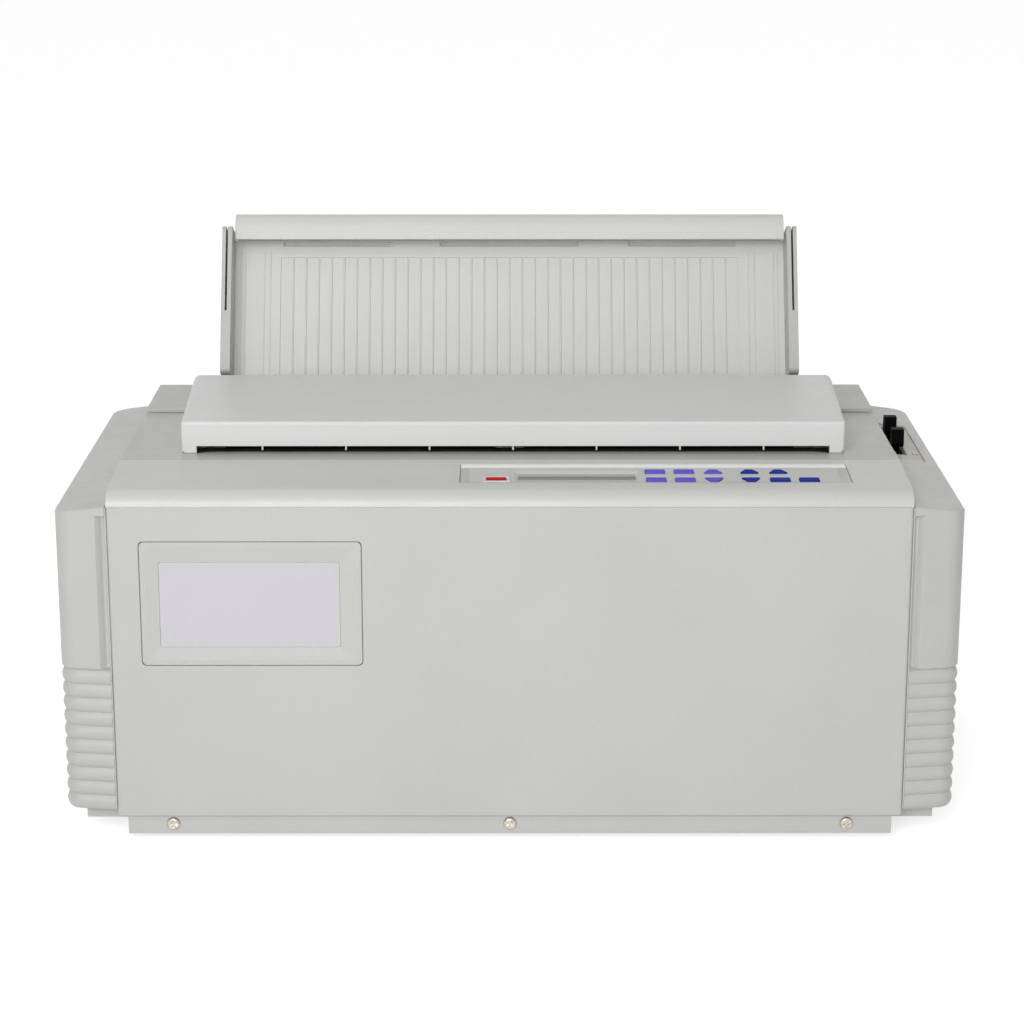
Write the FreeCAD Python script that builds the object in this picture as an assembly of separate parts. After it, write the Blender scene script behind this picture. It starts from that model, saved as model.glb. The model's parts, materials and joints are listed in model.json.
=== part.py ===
import FreeCAD, Part
import math
import os
from FreeCAD import Vector

# Wide heavy-duty dot matrix printer, in millimetres.
# While it is modelled, X runs to the right, Y back from the front panel's face, Z up from the floor.
# Every piece is moved at the end so that the origin is under the middle of the whole object.

# Cabinet
cabinet_width = 665.0
foot_height = 6.0
wall = 3.0
seam = 0.4
overrun = 2.0
touch = 0.2
join_tolerance = 0.000001
# A fillet that nearly turns an edge into a half round, as a share of what it rounds
edge_round_share = 0.9

# Main levels, and the widths and lengths that lead from one big piece to the next
plateau_top = 275.0
band_drop = 15.1
side_drop = 14.6
side_width = 39.4
lid_inset = 41.6
cover_inset = 23.5
lid_ahead = 20.2
lid_length = 138.5
rear_length = 90.0

# Base tray, with the rim that carries the side housings
tray_inset = 7.4
tray_front = 3.3
tray_wall = 3.0
tray_back_gap = 1.0
rim_inset = 14.5
rim_front = 15.0
rim_low = 14.7
rim_top = 25.4
strip_top = 27.0
base_screw_inset = 33.7
base_screw_z = 14.0
base_screw_head_r = 5.0
base_screw_head_h = 2.6
base_screw_dome_share = 0.8
base_screw_r = 2.5
base_screw_length = 12.0
cross_width = 2.0
cross_reach = 3.0
boss_r = 4.5
foot_r = 13.0
foot_taper = 1.5
foot_inset_x = 60.0
foot_inset_y = 50.0

# Front panel and its name window
panel_overlap = 4.1
panel_seam = 0.2
panel_return = 14.0
panel_edge_r = 2.5
bezel_inset = 23.1
bezel_width = 161.6
bezel_drop = 26.1
bezel_height = 93.9
bezel_corner_r = 3.5
bezel_gap = 0.6
bezel_lip = 4.0
bezel_depth = 4.6
bezel_flange = 3.0
insert_left_margin = 13.5
insert_right_margin = 16.0
insert_low_margin = 13.3
insert_high_margin = 15.6
insert_sink = 1.6
insert_thick = 2.4
insert_gap = 0.1

# Side housings: swept-back front, top falling outwards, horizontal ribs below, a cove beside the panel above
side_seam = 1.1
side_sweep = 5.2
side_fall = 4.8
corner_r = 14.0
side_wall = 4.5
side_top_r = 2.5
cove_width = 9.0
cove_flat = 3.0
cove_depth = 4.5
cove_r = 3.0
cove_drop = 7.0
rib_high = 134.3
rib_count = 10
rib_depth = 2.2

# Plateau: control band, front deck and rear deck
band_back = 81.3
band_rise = 4.1
bullnose_r = 13.0
skirt_drop = 3.9
skirt_front = 30.0
deck_strip = 6.5
deck_sink = 0.8
bay_inset = 15.5
bay_front_inset = 10.5
bay_back_inset = 14.0
bay_corner_r = 6.0
ramp_inset = 6.0
ramp_front_inset = 4.5
ramp_height = 1.1
ramp_corner_r = 5.0
rear_rise = 2.3
rear_edge_r = 2.6
rear_deck_over = 1.0
rear_bay_gap = 1.5
rear_bay_inset = 7.0
rear_bay_back_inset = 9.0

# Operator panel, set along the sloping control band
plate_inset = 42.5
plate_width = 287.0
plate_front = 24.5
plate_margin = 10.8
plate_gap = 0.5
plate_thick = 1.8
plate_recess = 2.2
plate_ledge = 1.5
plate_corner_r = 1.0
window_inset = 42.4
window_to_keys = 14.5
window_ahead = 6.0
window_length = 21.5
window_bevel = 2.5
window_thick = 1.2
lamp_inset = 26.9
lamp_ahead = 8.0
lamp_width = 14.0
lamp_length = 5.5
lamp_proud = 0.4
key_width = 14.6
key_length = 8.4
key_proud = 0.8
key_gap = 0.3
key_flange = 1.2
key_flange_thick = 1.0
key_corner_r = 1.0
arrow_tip = 5.5
key_row_inset = 7.3
key_row_share = 0.43
key_reach = 143.1
key_pitch = 21.4
key_block_pitch = 69.8
key_block_columns = 3

# Exit cover over the print bay
lid_centre = 2.5
lid_gap = 0.3
lid_front_height = 24.2
lid_back_height = 30.3
lid_flare = 5.5
lid_shoulder_r = 7.0
lid_wall = 2.5
lid_edge_r = 2.0
slot_height = 5.3
leg_width = 11.4
leg_notch_width = 2.0
leg_notch_height = 1.5
lid_rear_gap = 16.3
lid_pivot_inset = 8.0
lid_pivot_rise = 10.7
lid_pin_r = 2.5
lid_lug_r = 5.0
lid_lug_width = 5.0
lid_lug_gap = 0.6
guide_rib_share = 0.252
guide_rib_count = 7
guide_rib_width = 1.2
guide_rib_gap = 3.2
guide_rib_length = 10.0

# Rear cover, hinged at its foot and leaning back
cover_pivot_ahead = 39.92
cover_pivot_rise = 2.4
cover_lean = 25.2
cover_thick = 3.0
cover_foot = 2.5
cover_top = 128.94
cover_pin_r = 2.5
cover_pin_length = 8.0
cover_lug_r = 5.5
cover_lug_gap = 0.7
cover_lug_width = 5.6
bar_inset = 1.5
bar_r = 12.0
bar_above = 7.3
bar_lip_drop = 4.7
bar_wall = 2.6
wing_depth = 31.0
wing_low = 9.24
wing_drop = 3.0
wing_inner_thick = 3.4
wing_slot = 1.6
wing_outer_thick = 3.0
wing_slot_low = 61.24
wing_slot_depth = 15.0
wing_corner_r = 4.0
field_inset = 38.0
field_drop = 14.7
field_sink = 0.9
field_foot = 6.0
cover_rib_count = 35
cover_rib_width = 1.6
cover_rib_height = 0.8
grip_height = 4.0
grip_drop = 1.2
grip_mid_share = 0.305
grip_side_share = 0.521
grip_end_inset = 2.0

# Rear wall and what is let into it
paper_inset = 6.0
paper_drop = 13.0
paper_height = 34.0
paper_corner_r = 4.0
inlet_inset = 90.0
inlet_z = 60.0
inlet_width = 28.0
inlet_height = 48.0
inlet_flange = 3.0
inlet_flange_thick = 2.0
inlet_body = 22.0
socket_width = 24.0
socket_height = 16.5
socket_depth = 17.0
socket_corner_r = 4.0
socket_drop = 13.0
contact_width = 2.0
contact_height = 4.0
contact_length = 14.0
contact_pitch = 7.0
contact_offset = 2.0
rocker_raise = 11.0
rocker_width = 13.0
rocker_height = 19.0
rocker_depth = 7.0
rocker_back_share = 0.7
rocker_well_depth = 14.0
rocker_proud = 2.6
rocker_gap = 0.4
rocker_pin_r = 1.2
port_inset = 90.0
port_z = 60.0
port_width = 66.0
port_height = 14.0
port_corner_r = 4.2
port_wall = 2.0
port_flange = 6.0
port_flange_thick = 4.0
port_depth = 12.0
port_proud = 6.0
port_tongue_inset = 6.0
port_tongue_thick = 2.0
fan_from_supply = 40.0
fan_z = 110.0
fan_size = 60.0
fan_depth = 15.0
fan_bore_r = 28.0
fan_hub_r = 11.0
fan_blade_count = 7
fan_blade_gap = 1.2
fan_blade_thick = 1.4
fan_blade_tilt = 38.0
fan_blade_chord = 13.0
fan_pin_r = 2.0
fan_strut = 3.0
fan_strut_turn = 45.0
grille_pitch = 8.0
grille_slot = 4.0
grille_corner_r = 1.8
grille_count = 7

# Print mechanism between two steel side frames
frame_inset = 39.6
frame_thick = 2.5
frame_ahead = 24.0
frame_behind = 28.0
frame_above = 19.0
frame_foot = 15.0
frame_corner_r = 18.0
running = 0.05
platen_ahead = 28.0
platen_drop = 32.0
platen_r = 17.0
platen_end_gap = 27.5
platen_shaft_r = 5.0
gear_module = 1.5
gear_tip_share = 0.95
gear_root_share = 1.2
gear_flank_share = 0.75
gear_pressure_angle = 20.0
gear_width = 7.0
gear_offset = 3.0
gear_backlash = 0.35
platen_teeth = 32
pinion_teeth = 14
idler_teeth = 15
tractor_teeth = 32
# Directions from the platen gear to the idler and from the idler to the tractors' gear, from +Y towards +Z
idler_direction = -28.4
tractor_direction = -6.9
idler_pin_r = 4.0
pinion_shaft_r = 2.5
motor_face = 42.0
motor_length = 24.0
motor_boss_r = 11.0
motor_corner_r = 4.0
motor_bore_depth = 6.0
rail_ahead = 40.0
rail_spread = 44.0
rail_r = 6.0
guide_r = 4.0
tractor_shaft_r = 5.0
tractor_rod_ahead = 14.0
tractor_rod_drop = 6.0
tractor_rod_r = 3.0

# Carriage with its head, ribbon and drive
carriage_half = 34.0
carriage_thick = 18.0
carriage_over_rail = 14.0
carriage_over_guide = 10.0
carriage_corner_r = 5.0
head_r = 21.0
head_clear = 1.0
head_root_r = 16.0
head_fin_pitch = 4.0
head_fin_thick = 2.0
head_fin_count = 7
head_length = 42.5
head_collar_r = 10.0
head_nose_r = 4.5
head_nose_gap = 1.5
head_foot_half = 13.0
head_foot_length = 26.0
cassette_half = 62.0
cassette_depth = 32.0
cassette_gap = 5.0
cassette_height = 41.0
cassette_corner_r = 9.0
cassette_arm_in = 25.0
cassette_arm_width = 8.0
cassette_arm_below = 7.0
cassette_arm_above = 9.0
ribbon_ahead = 0.35
ribbon_thick = 0.3
ribbon_margin = 1.5
pulley_inset = 31.5
pulley_behind = 12.0
belt_pulley_r = 9.0
belt_gap = 0.2
belt_thick = 1.2
belt_width = 6.0
belt_drop = 2.0
pulley_flange = 2.0
pulley_flange_thick = 1.0
pulley_shaft_r = 3.0
clamp_half = 15.0
clamp_width = 8.0
clamp_gap = 0.4
bracket_drop = 6.0
bracket_half = 28.0
drive_motor_r = 27.0
drive_motor_length = 48.0
drive_motor_cap_r = 5.0
drive_motor_cap = 4.0

# Sprocket tractors
tractor_inset = 73.5
tractor_width = 24.0
tractor_r = 17.0
tractor_reach = 22.0
tractor_corner_r = 8.5
tractor_pin_r = 1.9
tractor_pin_tip_r = 1.1
tractor_pin_height = 1.5
tractor_pin_pitch = 12.7
tractor_pin_count = 3
door_gap = 1.9
door_thick = 2.4
door_inset = 4.0
door_pin_r = 1.1
door_knuckle_r = 2.0
door_slot = 5.4
door_lug = 3.0
door_lug_inset = 8.5
door_lug_gap = 0.3

# Electronics
board_side_gap = 45.7
board_width = 220.0
board_back_gap = 22.0
board_length = 186.0
board_thick = 1.6
board_stand = 6.0
board_stand_r = 3.0
board_inset = 8.0
chip_height = 3.0
chip_width = 32.0
chip_length = 14.0
chip_columns = 3
chip_rows = 3
supply_side_gap = 45.7
supply_width = 140.0
supply_back_gap = 48.0
supply_length = 160.0
supply_height = 70.0
supply_slot = 3.0
supply_slot_pitch = 12.0
supply_slot_count = 9
supply_slot_depth = 4.0
supply_slot_inset = 16.0

# Levers in the right housing
lever_inset = 12.4
lever_plate_behind = 44.5
lever_plate_length = 118.0
lever_plate_left_inset = 5.0
lever_plate_right_inset = 9.0
lever_plate_flange = 3.0
lever_plate_sink = 1.0
lever_plate_thick = 2.4
lever_slot_half = 5.3
lever_slot_front_inset = 19.0
lever_slot_back_inset = 8.0
lever_pivot_drop = 34.4
thickness_lever_behind = 88.5
feed_lever_behind = 130.5
lever_knob_width = 9.6
lever_knob_length = 11.0
lever_knob_top_share = 0.8
lever_knob_r = 1.0
lever_knob_rise = 12.6
lever_knob_drop = 1.8
lever_arm_thick = 4.0
lever_arm_width = 6.0
lever_pin_r = 2.5
lever_hub_r = 6.0
lever_hub_width = 10.0
lever_ear_thick = 2.5
lever_ear_gap = 0.4
lever_ear_half = 8.0

# Cabinet, worked out
cabinet_half = cabinet_width / 2
panel_half = cabinet_half - side_width
lid_half = panel_half - lid_inset
cover_half = lid_half - cover_inset
lid_front = band_back + lid_ahead
lid_back = lid_front + lid_length
cabinet_depth = lid_back + rear_length
band_low = plateau_top - band_drop
side_top = plateau_top - side_drop
rear_wall_face = cabinet_depth
rear_wall_inner = rear_wall_face - wall
rear_deck_top = plateau_top + rear_rise
rear_wall_top = rear_deck_top - wall - seam
floor_top = foot_height + tray_wall
tray_half = panel_half - tray_inset
tray_back = rear_wall_inner - tray_back_gap
rim_half = cabinet_half - rim_inset
base_screw_span = tray_half - base_screw_inset
panel_low = rim_top - panel_overlap
panel_top = band_low - panel_seam
side_inner = panel_half + side_seam
side_slope = math.degrees(math.atan2(side_fall, cabinet_half - side_inner))
bezel_left = bezel_inset - panel_half
bezel_right = bezel_left + bezel_width
bezel_high = band_low - bezel_drop
bezel_low = bezel_high - bezel_height
insert_left = bezel_left + insert_left_margin
insert_right = bezel_right - insert_right_margin
insert_low = bezel_low + insert_low_margin
insert_high = bezel_high - insert_high_margin

# Plateau and covers, worked out
deck_split = lid_back
under_deck = plateau_top - wall
band_front_top = plateau_top - band_rise
skirt_low = band_low - skirt_drop
deck_strip_back = lid_front + deck_strip
bay_half = lid_half - bay_inset
bay_front = lid_front + bay_front_inset
bay_back = lid_back - bay_back_inset
ramp_half = bay_half - ramp_inset
ramp_front = lid_front + ramp_front_inset
rear_deck_back = rear_wall_face + rear_deck_over
rear_bay_half = cover_half + rear_bay_gap
rear_bay_front = deck_split + rear_bay_inset
rear_bay_back = rear_wall_face - rear_bay_back_inset
rear_skirt_back = rear_wall_inner - seam
lid_low = plateau_top + lid_gap
lid_front_top = lid_low + lid_front_height
lid_back_top = lid_low + lid_back_height
slot_top = lid_low + slot_height
lid_rear_low = lid_low + lid_rear_gap
lid_pivot_y = lid_back - lid_pivot_inset
lid_pivot_half = lid_half + lid_flare * (lid_length - lid_pivot_inset) / lid_length
lid_pivot_z = lid_low + lid_pivot_rise
guide_rib_pitch = guide_rib_share * lid_half
guide_rib_low = lid_low + guide_rib_gap
guide_rib_back = lid_front + lid_wall + guide_rib_length
cover_pivot_y = rear_wall_face - cover_pivot_ahead
cover_pivot_z = rear_deck_top + cover_pivot_rise
bar_half = cover_half - bar_inset
bar_centre = cover_top + bar_above
bar_lip = cover_top - bar_lip_drop
wing_high = bar_centre - wing_drop
field_half = cover_half - field_inset
field_top = cover_top - field_drop
cover_rib_pitch = 2 * field_half / (cover_rib_count + 1)
grip_mid_half = grip_mid_share * field_half
grip_side_from = grip_side_share * field_half
grip_side_to = field_half - grip_end_inset
bar_y = cover_thick / 2 - bar_r
paper_half = cover_half - paper_inset
paper_high = plateau_top - paper_drop
paper_low = paper_high - paper_height
plate_right = panel_half - plate_inset
plate_left = plate_right - plate_width
plate_back = band_back - plate_margin
plate_top = plate_thick - plate_recess
plate_low = plate_top - plate_thick
key_first_x = plate_right - key_reach
key_row_y = plate_front + key_row_inset
key_row_pitch = key_row_share * (plate_back - plate_front)
window_left = plate_left + window_inset
window_right = key_first_x - window_to_keys
window_front = plate_front + window_ahead
window_back = window_front + window_length
lamp_x = plate_left + lamp_inset
lamp_y = plate_front + lamp_ahead
band_slope = math.degrees(math.atan2(band_rise, band_back))

# Mechanism, worked out
frame_face = panel_half - frame_inset
platen_y = lid_back - platen_ahead
platen_z = plateau_top - platen_drop
platen_half = frame_face - platen_end_gap
gear_x0 = frame_face + frame_thick + gear_offset
gear_x1 = gear_x0 + gear_width
pinion_y = platen_y
pinion_z = platen_z - gear_module * (platen_teeth + pinion_teeth) / 2
platen_to_idler = gear_module * (platen_teeth + idler_teeth) / 2
idler_to_tractor = gear_module * (idler_teeth + tractor_teeth) / 2
idler_angle = math.radians(idler_direction)
tractor_angle = math.radians(tractor_direction)
idler_y = platen_y + platen_to_idler * math.cos(idler_angle)
idler_z = platen_z + platen_to_idler * math.sin(idler_angle)
tractor_y = idler_y + idler_to_tractor * math.cos(tractor_angle)
tractor_z = idler_z + idler_to_tractor * math.sin(tractor_angle)
tractor_front = tractor_y - tractor_reach
tractor_back = tractor_y + tractor_reach
tractor_top = tractor_z + tractor_r
tractor_rod_y = tractor_y - tractor_rod_ahead
tractor_rod_z = tractor_z - tractor_rod_drop
door_low = tractor_top + door_gap
door_axis_z = door_low + door_thick / 2
tractor_x = frame_face - tractor_inset
carriage_high = platen_z - head_r - head_clear
carriage_low = carriage_high - carriage_thick
rail_z = carriage_high - carriage_thick / 2
rail_y = platen_y - rail_ahead
guide_y = rail_y - rail_spread
carriage_front = guide_y - carriage_over_guide
carriage_back = rail_y + carriage_over_rail
frame_front = guide_y - frame_ahead
frame_back = tractor_y + frame_behind
frame_top = platen_z + frame_above
head_tip = platen_y - platen_r - head_nose_gap
head_back = head_tip - head_length
ribbon_y = head_tip + ribbon_ahead
cassette_back = head_back - cassette_gap
cassette_front = cassette_back - cassette_depth
belt_high = carriage_low - belt_drop
belt_low = belt_high - belt_width
belt_pulley_x = frame_face - pulley_inset
belt_pulley_y = guide_y + pulley_behind
belt_inner_r = belt_pulley_r + belt_gap
bracket_low = belt_low - bracket_drop
fan_front = rear_wall_inner - fan_depth
fan_blade_r = fan_bore_r - fan_blade_gap

# Electronics, worked out
board_right = tray_half - board_side_gap
board_left = board_right - board_width
board_back = rear_wall_inner - board_back_gap
board_front = board_back - board_length
supply_left = supply_side_gap - tray_half
supply_right = supply_left + supply_width
supply_back = rear_wall_inner - supply_back_gap
supply_front = supply_back - supply_length
inlet_x = supply_left + inlet_inset
fan_x = supply_right + fan_from_supply
port_x = board_right - port_inset

# Levers, worked out
lever_x = side_inner + lever_inset
lever_plate_left = side_inner + lever_plate_left_inset
lever_plate_right = cabinet_half - lever_plate_right_inset
lever_plate_front = lid_front + lever_plate_behind
lever_plate_back = lever_plate_front + lever_plate_length
thickness_lever_y = lid_front + thickness_lever_behind
feed_lever_y = lid_front + feed_lever_behind
lever_slot_front = lever_plate_front + lever_slot_front_inset
lever_slot_back = lever_plate_back - lever_slot_back_inset
lever_pivot_z = side_top - lever_pivot_drop
lever_knob_top = side_top + lever_knob_rise
lever_knob_low = side_top - lever_knob_drop

# The whole object's depth runs from the front panel to the leaning cover's bar
lean_sin = math.sin(math.radians(cover_lean))
lean_cos = math.cos(math.radians(cover_lean))
reach = cover_pivot_y + bar_y * lean_cos + bar_centre * lean_sin + bar_r
middle = Vector(0, -reach / 2, 0)

os.makedirs("parts", exist_ok=True)


def save(name, shape):
    """Write one sub-part, moved into the object's own frame."""
    moved = shape.copy()
    moved.translate(middle)
    moved.exportStep("parts/" + name + ".step")


def box(x0, x1, y0, y1, z0, z1):
    return Part.makeBox(x1 - x0, y1 - y0, z1 - z0, Vector(x0, y0, z0))


def rod_x(x0, x1, y, z, r):
    return Part.makeCylinder(r, x1 - x0, Vector(x0, y, z), Vector(1, 0, 0))


def rod_y(y0, y1, x, z, r):
    return Part.makeCylinder(r, y1 - y0, Vector(x, y0, z), Vector(0, 1, 0))


def rod_z(z0, z1, x, y, r):
    return Part.makeCylinder(r, z1 - z0, Vector(x, y, z0), Vector(0, 0, 1))


def mirrored(shape):
    return shape.mirror(Vector(0, 0, 0), Vector(1, 0, 0))


def fuse(shapes):
    return shapes[0].multiFuse(shapes[1:]).removeSplitter()


def group(shapes):
    return Part.makeCompound(shapes)


def loop(corners, place):
    """Closed wire through (u, v, radius) corners; a radius rounds its corner with a tangent arc."""
    legs = []
    for index, (u, v, radius) in enumerate(corners):
        here = Vector(u, v, 0)
        before = Vector(*corners[index - 1][:2], 0) - here
        after = Vector(*corners[(index + 1) % len(corners)][:2], 0) - here
        before.normalize()
        after.normalize()
        if radius == 0:
            legs.append((here, None, here))
            continue
        half = before.getAngle(after) / 2
        spread = radius / math.tan(half)
        inward = (before + after).normalize()
        middle_point = here + inward * (radius / math.sin(half) - radius)
        legs.append((here + before * spread, middle_point, here + after * spread))
    edges = []
    for index, (enter, bend, leave) in enumerate(legs):
        start = legs[index - 1][2]
        if not start.isEqual(enter, join_tolerance):
            edges.append(Part.makeLine(place(start.x, start.y), place(enter.x, enter.y)))
        if bend is not None:
            points = [place(point.x, point.y) for point in (enter, bend, leave)]
            edges.append(Part.Arc(*points).toShape())
    return Part.Wire(edges)


def slab_z(corners, z0, z1):
    """Plate with a rounded plan outline given as (x, y, radius) corners."""
    wire = loop(corners, lambda u, v: Vector(u, v, z0))
    return Part.Face(wire).extrude(Vector(0, 0, z1 - z0))


def slab_y(corners, y0, y1):
    """Plate with a rounded front outline given as (x, z, radius) corners."""
    wire = loop(corners, lambda u, v: Vector(u, y0, v))
    return Part.Face(wire).extrude(Vector(0, y1 - y0, 0))


def slab_x(corners, x0, x1):
    """Length of a side profile given as (y, z, radius) corners."""
    wire = loop(corners, lambda u, v: Vector(x0, u, v))
    return Part.Face(wire).extrude(Vector(x1 - x0, 0, 0))


def rectangle(u0, u1, v0, v1, radius):
    return [(u0, v0, radius), (u1, v0, radius), (u1, v1, radius), (u0, v1, radius)]


def make_base_pan():
    """Moulded tray with an outward rim; its front wall is the strip below the front panel."""
    tray = box(-tray_half, tray_half, tray_front, tray_back, foot_height, rim_top)
    strip = box(-tray_half, tray_half, tray_front, tray_front + tray_wall, foot_height, strip_top)
    rim = box(-rim_half, rim_half, rim_front, rear_wall_face, rim_low, rim_top)
    hollow = box(
        -tray_half + tray_wall, tray_half - tray_wall,
        tray_front + tray_wall, tray_back - tray_wall,
        floor_top, strip_top + overrun)
    pan = fuse([tray, rim, strip]).cut(hollow)
    bosses = []
    holes = []
    boss_back = tray_front + base_screw_length
    for x in (-base_screw_span, 0, base_screw_span):
        bosses.append(rod_y(tray_front + tray_wall, boss_back, x, base_screw_z, boss_r))
        holes.append(rod_y(tray_front - overrun, boss_back - tray_wall, x, base_screw_z, base_screw_r))
    return fuse([pan] + bosses).cut(group(holes))


def make_base_screws():
    """Pan-head screws: a domed head with a cross recess on a plain shank."""
    screws = []
    head_front = tray_front - base_screw_head_h
    for x in (-base_screw_span, 0, base_screw_span):
        profile = [
            (0, head_front, 0), (base_screw_head_r, head_front, base_screw_head_h * base_screw_dome_share),
            (base_screw_head_r, tray_front, 0), (0, tray_front, 0)]
        wire = loop(profile, lambda u, v, x=x: Vector(x + u, v, base_screw_z))
        head = Part.Face(wire).revolve(Vector(x, 0, base_screw_z), Vector(0, 1, 0), 360)
        shank = rod_y(tray_front, tray_front + base_screw_length - tray_wall, x, base_screw_z, base_screw_r)
        deep = head_front + base_screw_head_h / 2
        upright = box(x - cross_width / 2, x + cross_width / 2, head_front - overrun, deep,
                      base_screw_z - cross_reach, base_screw_z + cross_reach)
        across = box(x - cross_reach, x + cross_reach, head_front - overrun, deep,
                     base_screw_z - cross_width / 2, base_screw_z + cross_width / 2)
        screws.append(fuse([head, shank]).cut(fuse([upright, across])))
    return group(screws)


def make_feet():
    feet = []
    for x in (-tray_half + foot_inset_x, tray_half - foot_inset_x):
        for y in (tray_front + foot_inset_y, tray_back - foot_inset_y):
            feet.append(Part.makeCone(foot_r - foot_taper, foot_r, foot_height, Vector(x, y, 0),
                                      Vector(0, 0, 1)))
    return group(feet)


def make_front_panel():
    """Flat front with short side returns and a window for the name bezel."""
    inner = panel_half - wall
    plan = [
        (-panel_half, 0, panel_edge_r), (panel_half, 0, panel_edge_r),
        (panel_half, panel_return, 0), (inner, panel_return, 0), (inner, wall, 0),
        (-inner, wall, 0), (-inner, panel_return, 0), (-panel_half, panel_return, 0)]
    panel = slab_z(plan, panel_low, panel_top)
    window = slab_y(rectangle(bezel_left - bezel_gap, bezel_right + bezel_gap,
                              bezel_low - bezel_gap, bezel_high + bezel_gap, bezel_corner_r),
                    -overrun, wall + overrun)
    return panel.cut(window)


def make_name_bezel():
    """Frame whose face slopes in to the insert; its flange sits behind the front panel."""
    outer = rectangle(bezel_left, bezel_right, bezel_low, bezel_high, bezel_corner_r)
    body = slab_y(outer, 0, bezel_depth)
    flange = slab_y(rectangle(bezel_left - bezel_flange, bezel_right + bezel_flange,
                              bezel_low - bezel_flange, bezel_high + bezel_flange, bezel_corner_r),
                    wall, bezel_depth)
    mouth = loop(rectangle(bezel_left + bezel_lip, bezel_right - bezel_lip,
                           bezel_low + bezel_lip, bezel_high - bezel_lip, bezel_corner_r),
                 lambda u, v: Vector(u, 0, v))
    throat = loop(rectangle(insert_left, insert_right, insert_low, insert_high, insert_sink),
                  lambda u, v: Vector(u, insert_sink, v))
    slope = Part.makeLoft([mouth, throat], True, True)
    hole = slab_y(rectangle(insert_left, insert_right, insert_low, insert_high, insert_sink),
                  insert_sink, bezel_depth + overrun)
    return fuse([body, flange]).cut(slope).cut(hole)


def make_name_insert():
    """Blank insert in the bezel."""
    edge = rectangle(insert_left + insert_gap, insert_right - insert_gap,
                     insert_low + insert_gap, insert_high - insert_gap, insert_sink)
    return slab_y(edge, insert_sink + insert_gap, insert_sink + insert_thick)


def side_plan(inner, inset):
    """Plan of the right housing, with its outer faces set in."""
    return [
        (inner, inset, 0), (cabinet_half - inset, side_sweep + inset, corner_r - inset),
        (cabinet_half - inset, cabinet_depth - inset, corner_r - inset), (inner, cabinet_depth - inset, 0)]


def fall_outwards(shape):
    """Tilt a level piece about the housing's inner top edge, so that it falls with the top."""
    tilted = shape.copy()
    tilted.rotate(Vector(side_inner, 0, side_top), Vector(0, 1, 0), side_slope)
    return tilted


def above_side_top(drop):
    """Everything over the tilted top, or over a like plane further down."""
    return fall_outwards(box(side_inner - side_width, cabinet_half + side_width, -side_width,
                             cabinet_depth + side_width, side_top - drop, side_top + side_width))


def rib_grooves():
    """What is taken out between the ribs, swept round the housing's front, side and back."""
    def at(out, z):
        return Vector(side_inner, -out, z)

    pitch = (rib_high - rim_top) / rib_count
    edges = [
        Part.makeLine(at(overrun, rib_high + rib_depth), at(overrun, rim_top)),
        Part.makeLine(at(overrun, rim_top), at(-rib_depth, rim_top))]
    for index in range(rib_count):
        low = rim_top + index * pitch
        middle_z = low + pitch / 2
        high = low + pitch
        edges.append(Part.Arc(at(-rib_depth, low), at(0, middle_z), at(-rib_depth, high)).toShape())
    edges += [
        Part.makeLine(at(-rib_depth, rib_high), at(0, rib_high + rib_depth)),
        Part.makeLine(at(0, rib_high + rib_depth), at(overrun, rib_high + rib_depth))]
    corners = side_plan(side_inner, 0)
    corners[-1] = (side_inner - overrun, cabinet_depth, 0)
    outline = loop(corners, lambda u, v: Vector(u, v, 0))
    path = Part.Wire(outline.OrderedEdges[1:])
    return path.makePipeShell([Part.Wire(edges)], True, False)


def make_cove():
    """The shallow hollow beside the front panel, above the ribs, with rounded ends."""
    plan = slab_z([
        (side_inner - overrun, cove_depth, 0), (side_inner + cove_flat, cove_depth, cove_r),
        (side_inner + cove_width, 0, 0), (side_inner + cove_width, -overrun, 0),
        (side_inner - overrun, -overrun, 0)], rib_high + rib_depth, side_top - cove_drop)
    ends = slab_x([
        (-overrun, rib_high + rib_depth, 0), (cove_depth, rib_high + rib_depth, cove_r),
        (cove_depth, side_top - cove_drop, cove_r), (-overrun, side_top - cove_drop, 0)],
        side_inner - overrun, side_inner + cove_width)
    return plan.common(ends)


def make_side_housing():
    """Moulded housing, open on its inner side, with a tilted top and ribs round its lower part."""
    block = slab_z(side_plan(side_inner, 0), rim_top, side_top + overrun).cut(above_side_top(0))
    crown = max(block.Faces, key=lambda face: face.CenterOfMass.z)
    rim = [edge for edge in crown.Edges if edge.CenterOfMass.x > side_inner + touch]
    block = block.makeFillet(side_top_r, rim)
    deep = cove_depth + side_wall
    step = side_inner + cove_width
    hollow = slab_z([(side_inner - overrun, deep, 0), (step, deep, 0)]
                    + side_plan(step + wall, side_wall)[:-1]
                    + [(side_inner - overrun, cabinet_depth - side_wall, 0)], rim_top + wall,
                    side_top + overrun)
    hollow = hollow.cut(above_side_top(wall))
    return block.cut(hollow).cut(make_cove()).cut(rib_grooves())


def lever_opening():
    hole = slab_z(rectangle(lever_plate_left, lever_plate_right, lever_plate_front, lever_plate_back, touch),
                  side_top - wall - overrun, side_top + overrun)
    return fall_outwards(hole)


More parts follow.
